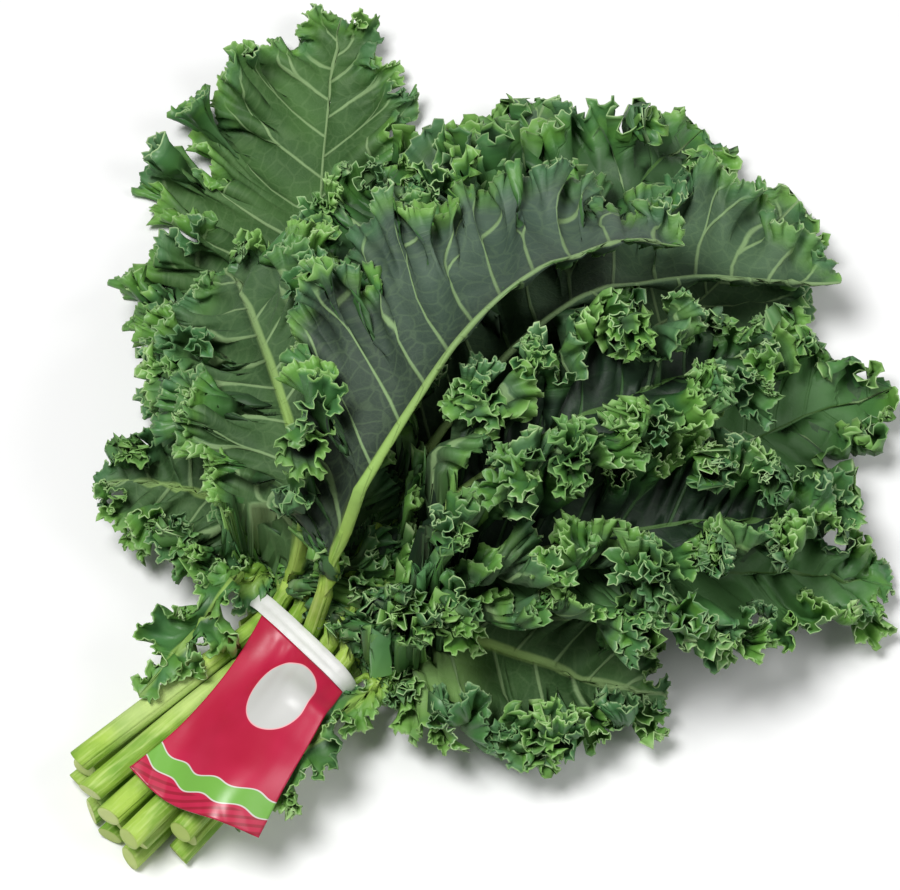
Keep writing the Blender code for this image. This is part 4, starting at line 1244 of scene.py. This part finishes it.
    def raise_blade(self):
        """Numbers the side veins, and bulges the blade between them."""
        self.vein = np.zeros(self.mid.shape[:2])
        for i, column in enumerate(FINE_COLUMNS):
            u = np.clip(self.blade_u - VEIN_AHEAD * OUTWARD[i] ** 2, 0, 1)
            at = np.interp(u, self.blade_u, self.foot) - self.start
            wander = VEIN_WANDER[0] * np.sin(at / (31 * MM) + self.leaf.seed)
            wander = wander + VEIN_WANDER[1] * np.sin(5 * OUTWARD[i] + at / (17 * MM))
            opposite = 0.5 * (column < 0)
            self.vein[self.rows, i] = at / VEIN_SPACING + wander + opposite + FIRST_VEIN
        self.vein[: len(self.stalk_s)] = self.vein[len(self.stalk_s)]
        run = np.linalg.norm(np.gradient(self.flat[..., :2], axis=0), axis=-1)
        gap = run / np.maximum(np.abs(np.gradient(self.vein, axis=0)), 1e-4)
        self.gap = np.clip(gap, 1 * MM, 30 * MM)

        free = ramp(np.abs(self.flat[..., 1]), *BULGE_FROM_RIB)
        free = free * ramp(self.to_margin, *BULGE_FROM_MARGIN)
        free[: len(self.stalk_s)] = 0
        rise = BLISTER * np.abs(np.sin(np.pi * self.vein)) ** 0.8
        pleat = PLEAT_OTHERS.get(self.leaf.name, PLEAT)
        rise = rise + pleat * np.cos(np.pi * self.vein + self.leaf.seed)
        up = frames(self.mid)[2]
        self.mid = self.mid + ((-1 if self.leaf.back_up else 1) * free * rise)[..., None] * up

    def faces(self):
        """The points of the upper and the lower face."""
        up = frames(self.mid)[2]
        less = (HALF_THICKNESS - MARGIN_HALF_THICKNESS) * ramp(-self.to_margin, -6 * MM, 0)
        over = np.linalg.norm(self.over, axis=-1) - less
        under = np.linalg.norm(self.under, axis=-1) - less
        return self.mid + up * over[..., None], self.mid - up * under[..., None]


def grid_triangles(rows, stalk_rows):
    """Corners (row, column) of a fine grid's triangles, seen from above."""
    found = []

    def add(*corners):
        found.append(np.stack([np.stack(np.broadcast_arrays(r, c), -1) for r, c in corners], 1))

    for k in range(len(STRIDES) - 1):
        r = np.arange(stalk_rows)
        add((r, k), (r + 1, k), (r + 1, k + 1))
        add((r, k), (r + 1, k + 1), (r, k + 1))
        near, far = STRIDES[k], STRIDES[k + 1]
        wide, half_way = max(near, far), max(near, far) // 2
        r = np.arange(stalk_rows, rows - 1, wide)
        if near > far:
            add((r, k), (r + wide, k), (r + half_way, k + 1))
            add((r, k), (r + half_way, k + 1), (r, k + 1))
            add((r + wide, k), (r + wide, k + 1), (r + half_way, k + 1))
        elif near < far:
            add((r, k), (r + half_way, k), (r, k + 1))
            add((r + half_way, k), (r + wide, k + 1), (r, k + 1))
            add((r + half_way, k), (r + wide, k), (r + wide, k + 1))
        else:
            add((r, k), (r + wide, k), (r + wide, k + 1))
            add((r, k), (r + wide, k + 1), (r, k + 1))
    return np.concatenate(found)


# Where a leaf's parts lie on its own map, in shares of the map: its rows run along it, the upper
# face fills a strip of it and the lower face another, the margins' edges lie in two thin strips
# beyond these, and the cut end in front of them all.
ROWS_FROM, BLADE_FROM_ROW = 0.04, 0.13
FACE_STRIPS = ((0.0, 0.485), (0.49, 0.975))
EDGE_STRIPS = ((0.98, 0.988), (0.99, 0.998))
MAP_SHARES = (0, 0.06, 0.4, 0.68, 1)  # of half a strip's width, at each of the knots
CUT_CENTRE, CUT_RADIUS = np.array([0.016, 0.5]), np.array([0.014, 0.2])
CUT_LOOPS = ((0.93, 0.35 * MM), (0.55, 0.1 * MM))  # size next to the stalk's, and rise


class Skin:
    """The points and triangles of a leaf's mesh, with each corner's place on the leaf's map."""

    def __init__(self, upper, lower, stalk_rows):
        rows, columns = upper.shape[:2]
        self.count = rows * columns  # of the points of one face
        self.index = np.arange(self.count).reshape(rows, columns)
        self.index[-1] = self.index[-1, 0]  # the tip is one point
        self.points = np.concatenate([upper.reshape(-1, 3), lower.reshape(-1, 3)])
        stalk_u = np.linspace(ROWS_FROM, BLADE_FROM_ROW, stalk_rows, endpoint=False)
        self.u = np.concatenate([stalk_u, np.linspace(BLADE_FROM_ROW, 1, rows - stalk_rows)])
        self.found = []
        self.add_faces(grid_triangles(rows, stalk_rows))
        self.add_edges()
        self.add_cut_end((upper[1] + lower[1]).mean(0) / 2)
        triangles, places = (np.concatenate(parts) for parts in zip(*self.found))
        a, b, c = triangles.T
        keep = (a != b) & (b != c) & (a != c)
        self.triangles, self.places = triangles[keep], places[keep]

    def add(self, *corners):
        """Adds triangles, each corner given by its points and by their places on the map."""
        self.found.append([np.stack(part, 1) for part in zip(*corners)])

    def add_faces(self, corners):
        """Adds the upper face, and the lower one turned over."""
        outward = np.interp(np.abs(FINE_COLUMNS), KNOTS, MAP_SHARES)
        v = 0.5 + 0.5 * np.sign(FINE_COLUMNS) * outward
        for n, (low, high) in enumerate(FACE_STRIPS):
            map_v = low + v * (high - low)
            spots = [corners[:, k].T for k in ((0, 1, 2), (2, 1, 0))[n]]
            points = [self.index[r, c] + n * self.count for r, c in spots]
            self.add(*zip(points, [np.stack([self.u[r], map_v[c]], -1) for r, c in spots]))

    def add_edges(self):
        """Joins both faces along the margins and down the stalk."""
        for column, strip in zip((0, -1), EDGE_STRIPS):
            edge = self.index[:, column]
            bottom, top = (np.stack(np.broadcast_arrays(self.u, v), -1) for v in strip)
            a, b = (edge[:-1], bottom[:-1]), (edge[1:], bottom[1:])
            c, d = (edge[1:] + self.count, top[1:]), (edge[:-1] + self.count, top[:-1])
            for corners in ((a, b, c), (a, c, d)):
                self.add(*(corners if column else corners[::-1]))

    def add_cut_end(self, behind):
        """Closes the stalk with a rounded rim, a slightly sunken face and its middle."""
        ring = np.concatenate([self.index[0], self.index[0, ::-1] + self.count])
        outline = self.points[ring]
        middle = outline.mean(0)
        away = unit(middle - behind)
        turn = np.linspace(0, TURN, len(ring), endpoint=False)
        circle = np.stack([np.cos(turn), np.sin(turn)], -1)
        outer = ring, CUT_CENTRE + CUT_RADIUS * circle
        for size, rise in CUT_LOOPS:
            loop = middle + size * (outline - middle) + rise * away
            points = len(self.points) + np.arange(len(ring))
            inner = points, CUT_CENTRE + CUT_RADIUS * size * circle
            next_outer, next_inner = ([np.roll(v, -1, 0) for v in pair] for pair in (outer, inner))
            self.add(outer, next_outer, next_inner)
            self.add(outer, next_inner, inner)
            self.points = np.concatenate([self.points, loop])
            outer = inner
        last, spots = outer
        centre = np.full(len(last), len(self.points)), np.broadcast_to(CUT_CENTRE, spots.shape)
        self.add(outer, [np.roll(v, -1, 0) for v in outer], centre)
        self.points = np.concatenate([self.points, [middle]])


def slant_cut(upper, lower, seed):
    """Moves the end row of a stalk's points on to a slanting cut."""
    draw = random.Random(seed)
    slope_y, slope_z = (draw.uniform(-OBLIQUE, OBLIQUE) for _ in range(2))
    middle = (upper[0, MIDDLE] + lower[0, MIDDLE]) / 2
    for face in (upper, lower):
        off = face[0] - middle
        face[0, :, 0] += slope_y * off[:, 1] + slope_z * off[:, 2]


def leaf_values(fine, caps):
    """What the material reads at the points of both faces, and at as many of the cut end as caps.

    on_leaf is the place on the leaf laid flat, with a number for the leaf. veins counts the side
    veins, with the distance between them and that to the margin. kind is 1 on the back, in the
    stalk and on its cut, one after the other. tint is as in TINTS.
    """

    def everywhere(values):
        values = values.reshape(-1, 3)
        return np.concatenate([values, values, np.tile(values[:1], (caps, 1))])

    on_leaf = fine.flat.copy()
    on_leaf[..., 2] = fine.leaf.seed
    on_leaf = everywhere(on_leaf)
    veins = everywhere(np.stack([fine.vein, fine.gap, fine.to_margin], -1))
    in_stalk = 1 - ramp(fine.flat[..., 0], fine.start - 6 * MM, fine.start + 30 * MM)
    in_stalk = in_stalk * (1 - ramp(np.abs(fine.flat[..., 1]), 5.4 * MM, 8 * MM))
    count = in_stalk.size
    kind = np.zeros((2 * count + caps, 3))
    kind[:count, 0] = fine.leaf.back_up
    kind[count : 2 * count, 0] = not fine.leaf.back_up
    kind[: 2 * count, 1] = np.tile(in_stalk.ravel(), 2)
    kind[2 * count :, 1:] = 1
    tint = np.tile(TINTS.get(fine.leaf.name, USUAL_TINT), (len(kind), 1))
    tint[:, 2] *= ramp(-on_leaf[:, 1], 2 * MM, 10 * MM) * ramp(-on_leaf[:, 0], -95 * MM, -70 * MM)
    return {"on_leaf": on_leaf, "veins": veins, "kind": kind, "tint": tint}


def leaf_object(fine, ceiling):
    """The leaf's mesh, pressed down below the ceiling."""
    fine.mid[fine.rows] = ceiling.press(fine.mid[fine.rows])
    upper, lower = fine.faces()
    slant_cut(upper, lower, fine.leaf.seed + CUT_SEED)
    skin = Skin(upper, lower, len(fine.stalk_s))
    points = skin.points
    points[:, 2] = FLOOR_SOFTNESS * np.logaddexp(0, points[:, 2] / FLOOR_SOFTNESS)
    points += PLACE
    used, compact = np.unique(skin.triangles, return_inverse=True)
    mesh = bpy.data.meshes.new(fine.leaf.name + "_kale")
    mesh.from_pydata(points[used], [], compact.reshape(-1, 3))
    for name, values in leaf_values(fine, len(points) - 2 * skin.count).items():
        give(mesh, name, values[used])
    lay_out(mesh, skin.places)
    mesh.shade_smooth()
    return placed(fine.leaf.name + "_kale", mesh)


# How much a leaf's underside is greyed by its wax, and darkened near the tie with painted shade; the
# painted shade in the middle of its upper face, from near black at 0 to a light green at 1; and how
# pale the right half of its blade is near the tie
TINTS = {
    "leaf_02": (0.0, 0.6, 0.0),
    "leaf_03": (0.7, 0.6, 0.0),
    "leaf_04": (0.3, 1.0, 0.0),
    "leaf_05": (0.5, 0.9, 0.0),
    "leaf_07": (0.5, 0.4, 0.0),
    "leaf_08": (0.1, 0.9, 0.9),
    "leaf_09": (0.5, 0.9, 0.0),
    "leaf_10": (0.6, 0.5, 0.0),
    "leaf_11": (0.5, 0.0, 0.0),
    "leaf_12": (0.5, 0.0, 0.0),
    "leaf_13": (0.5, 0.1, 0.0),
    "leaf_15": (1.0, 0.5, 0.0),
}
USUAL_TINT = (0.25, 0.25, 0.0)

# A leaf's colours. Most pairs are mixed by a pattern. Of a vein's and a rib's, the first is for
# the upper side and the second for the back.
UPPER = (0.035, 0.12, 0.029), (0.064, 0.19, 0.042)
# Painted shade for the inside of the upper face, away from the margin: a near black, and a lighter green
UPPER_INSIDE_PAINTED_SHADE = (0.008, 0.024, 0.01), (0.08, 0.2, 0.06)
BACK_FRESH = (0.036, 0.098, 0.022), (0.06, 0.143, 0.035)
BACK_WAXY = (0.046, 0.082, 0.057), (0.077, 0.123, 0.087)
# Painted shade: the back of a waxy leaf darkens to this towards the tie
BACK_BASE_PAINTED_SHADE = (0.02, 0.034, 0.021)
PALE_BASE = (0.2, 0.36, 0.1)
VEIN = (0.055, 0.15, 0.035), (0.24, 0.37, 0.16)
RIB = (0.07, 0.16, 0.035), (0.2, 0.31, 0.13)
RIB_BASE = (0.27, 0.44, 0.1)
FRILL = (0.072, 0.2, 0.075), (0.14, 0.34, 0.045)
# Pale waxy patches on the frill, partly a painted sheen; then the margin's yellow-green, partly a painted
# highlight
FRILL_PALE_AND_PAINTED_SHEEN, FRILL_EDGE_WITH_PAINTED_HIGHLIGHT = (0.2, 0.36, 0.16), (0.27, 0.5, 0.13)
# The pale rim: the margin's own light colour, with a painted highlight
RIM = (0.5, 0.68, 0.33)
STALK = (0.15, 0.33, 0.02), (0.38, 0.56, 0.08)
STALK_STREAK, STALK_PALE = (0.6, 0.74, 0.25), (0.62, 0.74, 0.3)
CUT = (0.42, 0.55, 0.12), (0.68, 0.76, 0.32)


def vein_net(f, on_leaf, vein, gap, to_margin, out):
    """Masks for the side veins, and for the net of small veins and the smallest ones in it."""
    fork = to_margin.fall(14 * MM, 40 * MM) * out.fade(14 * MM, 34 * MM) * 0.17
    offset = abs(abs(vein - vein.math("ROUND")) - fork) * gap
    side_width = 0.4 * MM + 0.65 * MM * out.fall(0, 60 * MM)
    side_vein = 1 - (offset / side_width).fade(0.35, 1.35)
    side_vein = side_vein * to_margin.fade(3 * MM, 12 * MM)

    shift = f.node("ShaderNodeTexNoise", {}, {"Vector": on_leaf, "Scale": 90.0}, "Color")
    settings = {"operation": "MULTIPLY_ADD"}
    bent = f.node("ShaderNodeVectorMath", settings, {0: shift, 1: (0.004, 0.004, 0), 2: on_leaf})
    masks = []
    for scale, width in ((120.0, 0.09), (380.0, 0.14)):
        settings, values = {"feature": "DISTANCE_TO_EDGE"}, {"Vector": bent, "Scale": scale}
        masks.append(f.node("ShaderNodeTexVoronoi", settings, values).fall(0.02, width))
    net, smallest = masks
    return side_vein, net * to_margin.fade(2 * MM, 16 * MM), smallest


def kale_finish():
    """Waxy green leaf: pale veins and underside, yellow-green margin and stalk, paler cut end.

    A painted highlight brightens the margin and its rim, and a painted sheen the frill; painted shade
    darkens the inside of the upper face, and the back near the tie.
    """
    f = Finish("kale_leaf")
    on_leaf = f.attribute("on_leaf")
    along, across, _ = f.split(on_leaf)
    vein, gap, to_margin = f.split(f.attribute("veins"))
    back, stalk, cut = f.split(f.attribute("kind"))
    bloom, light, pale_base = f.split(f.attribute("tint"))
    out = abs(across)

    broad = f.noise(on_leaf, 28.0, 3.0)
    fine = f.noise(on_leaf, 160.0, 3.0)
    patches = f.noise(on_leaf, 60.0, 2.0)
    place = f.place()
    mottle = f.noise(place, 45.0, 3.0)

    side_vein, net, smallest = vein_net(f, on_leaf, vein, gap, to_margin, out)
    veins = (side_vein + net * 0.1 + smallest * 0.04).math("MINIMUM", 1.0)
    rib_width = (0.7 * MM + 1.8 * MM * along.fall(20 * MM, 280 * MM)) * (0.7 + 0.3 * back)
    rib = 1 - (out / rib_width).fade(0.6, 1.3)

    # The blade, from its middle out to its rim
    # Painted shade: away from its margin, the upper face darkens towards a colour between near black and
    # light green, set by the leaf's tint
    deep = to_margin.fade(8 * MM, 30 * MM)
    shade = broad.fade(0.35, 0.65)
    upper = f.mix(deep, f.mix(shade, *UPPER), f.mix(light, *UPPER_INSIDE_PAINTED_SHADE))
    # The waxy back, with painted shade that darkens it towards the tie
    waxy_with_painted_shade = f.mix(along.fall(60 * MM, 190 * MM) * 0.85, f.mix(shade, *BACK_WAXY), BACK_BASE_PAINTED_SHADE)
    lower = f.mix(bloom, f.mix(shade, *BACK_FRESH), waxy_with_painted_shade)
    blade = f.mix(pale_base, f.mix(back, upper, lower), PALE_BASE)
    blade = f.mix(veins * (0.5 + 0.35 * back), blade, f.mix(back, *VEIN))
    frill = f.mix(patches.fade(0.38, 0.62), *FRILL)
    # Pale waxy patches, partly a painted sheen
    frill = f.mix(fine.fade(0.5, 0.75) * 0.5, frill, FRILL_PALE_AND_PAINTED_SHEEN)
    blade = f.mix(to_margin.fall(1.5 * MM, 16 * MM) * 0.7, blade, frill)
    # The margin's yellow-green and its pale rim, both brightened by a painted highlight
    edge = to_margin.fall(0.2 * MM, 4.5 * MM) * patches.fade(0.4, 0.65)
    blade = f.mix(edge * 0.5, blade, FRILL_EDGE_WITH_PAINTED_HIGHLIGHT)
    rim = to_margin.fall(0.05 * MM, 0.9 * MM) * (0.12 + 0.55 * fine.fade(0.4, 0.65))
    blade = f.mix(rim, blade, RIM)
    rib_colour = f.mix(along.fall(50 * MM, 180 * MM), f.mix(back, *RIB), RIB_BASE)
    blade = f.mix(rib, blade, rib_colour)

    # The stalk's skin, streaked along it, and its cut
    drawn_out = {0: on_leaf, 1: (0.06, 1, 1)}
    streaks = f.node("ShaderNodeVectorMath", {"operation": "MULTIPLY"}, drawn_out)
    streaks = f.noise(streaks, 900.0, 2.0)
    skin = f.mix(mottle.fade(0.3, 0.7), *STALK)
    skin = f.mix(streaks.fade(0.45, 0.75) * 0.5, skin, STALK_STREAK)
    skin = f.mix(f.noise(place, 14.0, 1.0).fade(0.52, 0.7) * 0.55, skin, STALK_PALE)
    green = f.mix(stalk, blade, skin)
    f.set(Base_Color=f.mix(cut, green, f.mix(fine.fade(0.35, 0.7), *CUT)))

    # The wax is a little glossy on the upper side's margin, and dull inside it and on the back
    f.set(Roughness=0.44 + 0.14 * (back + deep) + 0.14 * (broad - 0.5))
    height = veins * (back * 2 - 1) * 0.5 * MM + fine * 0.1 * MM + smallest * 0.05 * MM
    height = height + stalk * streaks * 0.5 * MM
    f.set(Normal=f.bump(height, 0.8), IOR=1.42)
    return f.material


kale = kale_finish()
ceiling = Ceiling()
ceiling.add(label_sheet - (0, 0, FILM_THICKNESS))
for parts in reversed(settled):  # from the top of the heap down
    fine = FineLeaf(*parts, ceiling)
    piece = leaf_object(fine, ceiling)
    unfolded = slice(MIDDLE if fine.leaf.name in FOLDED_UNDER else 0, None)
    ceiling.add(fine.mid[fine.rows, unfolded])
    piece.data.materials.append(kale)
    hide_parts(fine.leaf.name)
    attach(piece, "root")


# ---- The camera, the lights and the floor -------------------------------------------------------
# The bunch lies on white paper, in an even pale light, with a wide soft lamp above it and a weaker
# one in front. The camera looks down on it from the front, to the left of its stalks' run.

AZIMUTH, ELEVATION = math.radians(-45), math.radians(65)
DISTANCE = 1.8
FRAME_WIDTH = 0.45  # what the frame spans at the tie
ASIDE, ABOVE = 0.075, 0.0955  # of the tie, to the frame's middle
WHITE, PAPER = (1, 1, 1, 1), (0.88, 0.88, 0.88, 1)
SKY_STRENGTH = 0.19
FLOOR_REACH = 4.0

tie_top = Vector((PLACE[0], PLACE[1], tie_high.z))
level = math.cos(ELEVATION)
away = Vector((math.sin(AZIMUTH) * level, -math.cos(AZIMUTH) * level, math.sin(ELEVATION)))
right = (-away).cross(Vector((0, 0, 1))).normalized()
up = right.cross(-away)
camera = bpy.data.cameras.new("camera")
camera.sensor_width = 36
camera.lens = camera.sensor_width * DISTANCE / FRAME_WIDTH
viewer = placed("camera", camera)
viewer.location = tie_top + right * ASIDE + up * ABOVE + away * DISTANCE
viewer.rotation_euler = away.to_track_quat("Z", "Y").to_euler()
bpy.context.scene.camera = viewer
bpy.context.scene.view_settings.view_transform = "Standard"

floor_mesh = bpy.data.meshes.new("floor")
corners = [(x * FLOOR_REACH, y * FLOOR_REACH, 0) for x, y in ((-1, -1), (1, -1), (1, 1), (-1, 1))]
floor_mesh.from_pydata(corners, [], [(0, 1, 2, 3)])
paper = Finish("floor_paper")
paper.set(Base_Color=PAPER, Roughness=0.8)
floor_mesh.materials.append(paper.material)
placed("floor", floor_mesh)

world = bpy.data.worlds.new("studio")
bpy.context.scene.world = world
world.use_nodes = True
sky = world.node_tree.nodes["Background"].inputs
sky["Color"].default_value = WHITE
sky["Strength"].default_value = SKY_STRENGTH


def softbox(name, place, size, power):
    """A round lamp that faces the foot of the bunch."""
    lamp = bpy.data.lights.new(name, "AREA")
    lamp.shape = "DISK"
    lamp.size = size
    lamp.energy = power
    made = placed(name, lamp)
    made.location = place
    made.rotation_euler = (Vector(place) - Vector((0, 0, 0.05))).to_track_quat("Z", "Y").to_euler()


softbox("key_light", (-0.5, 0.35, 2.3), size=0.9, power=52)
softbox("fill_light", (0.9, -1.3, 1.7), size=1.2, power=15)
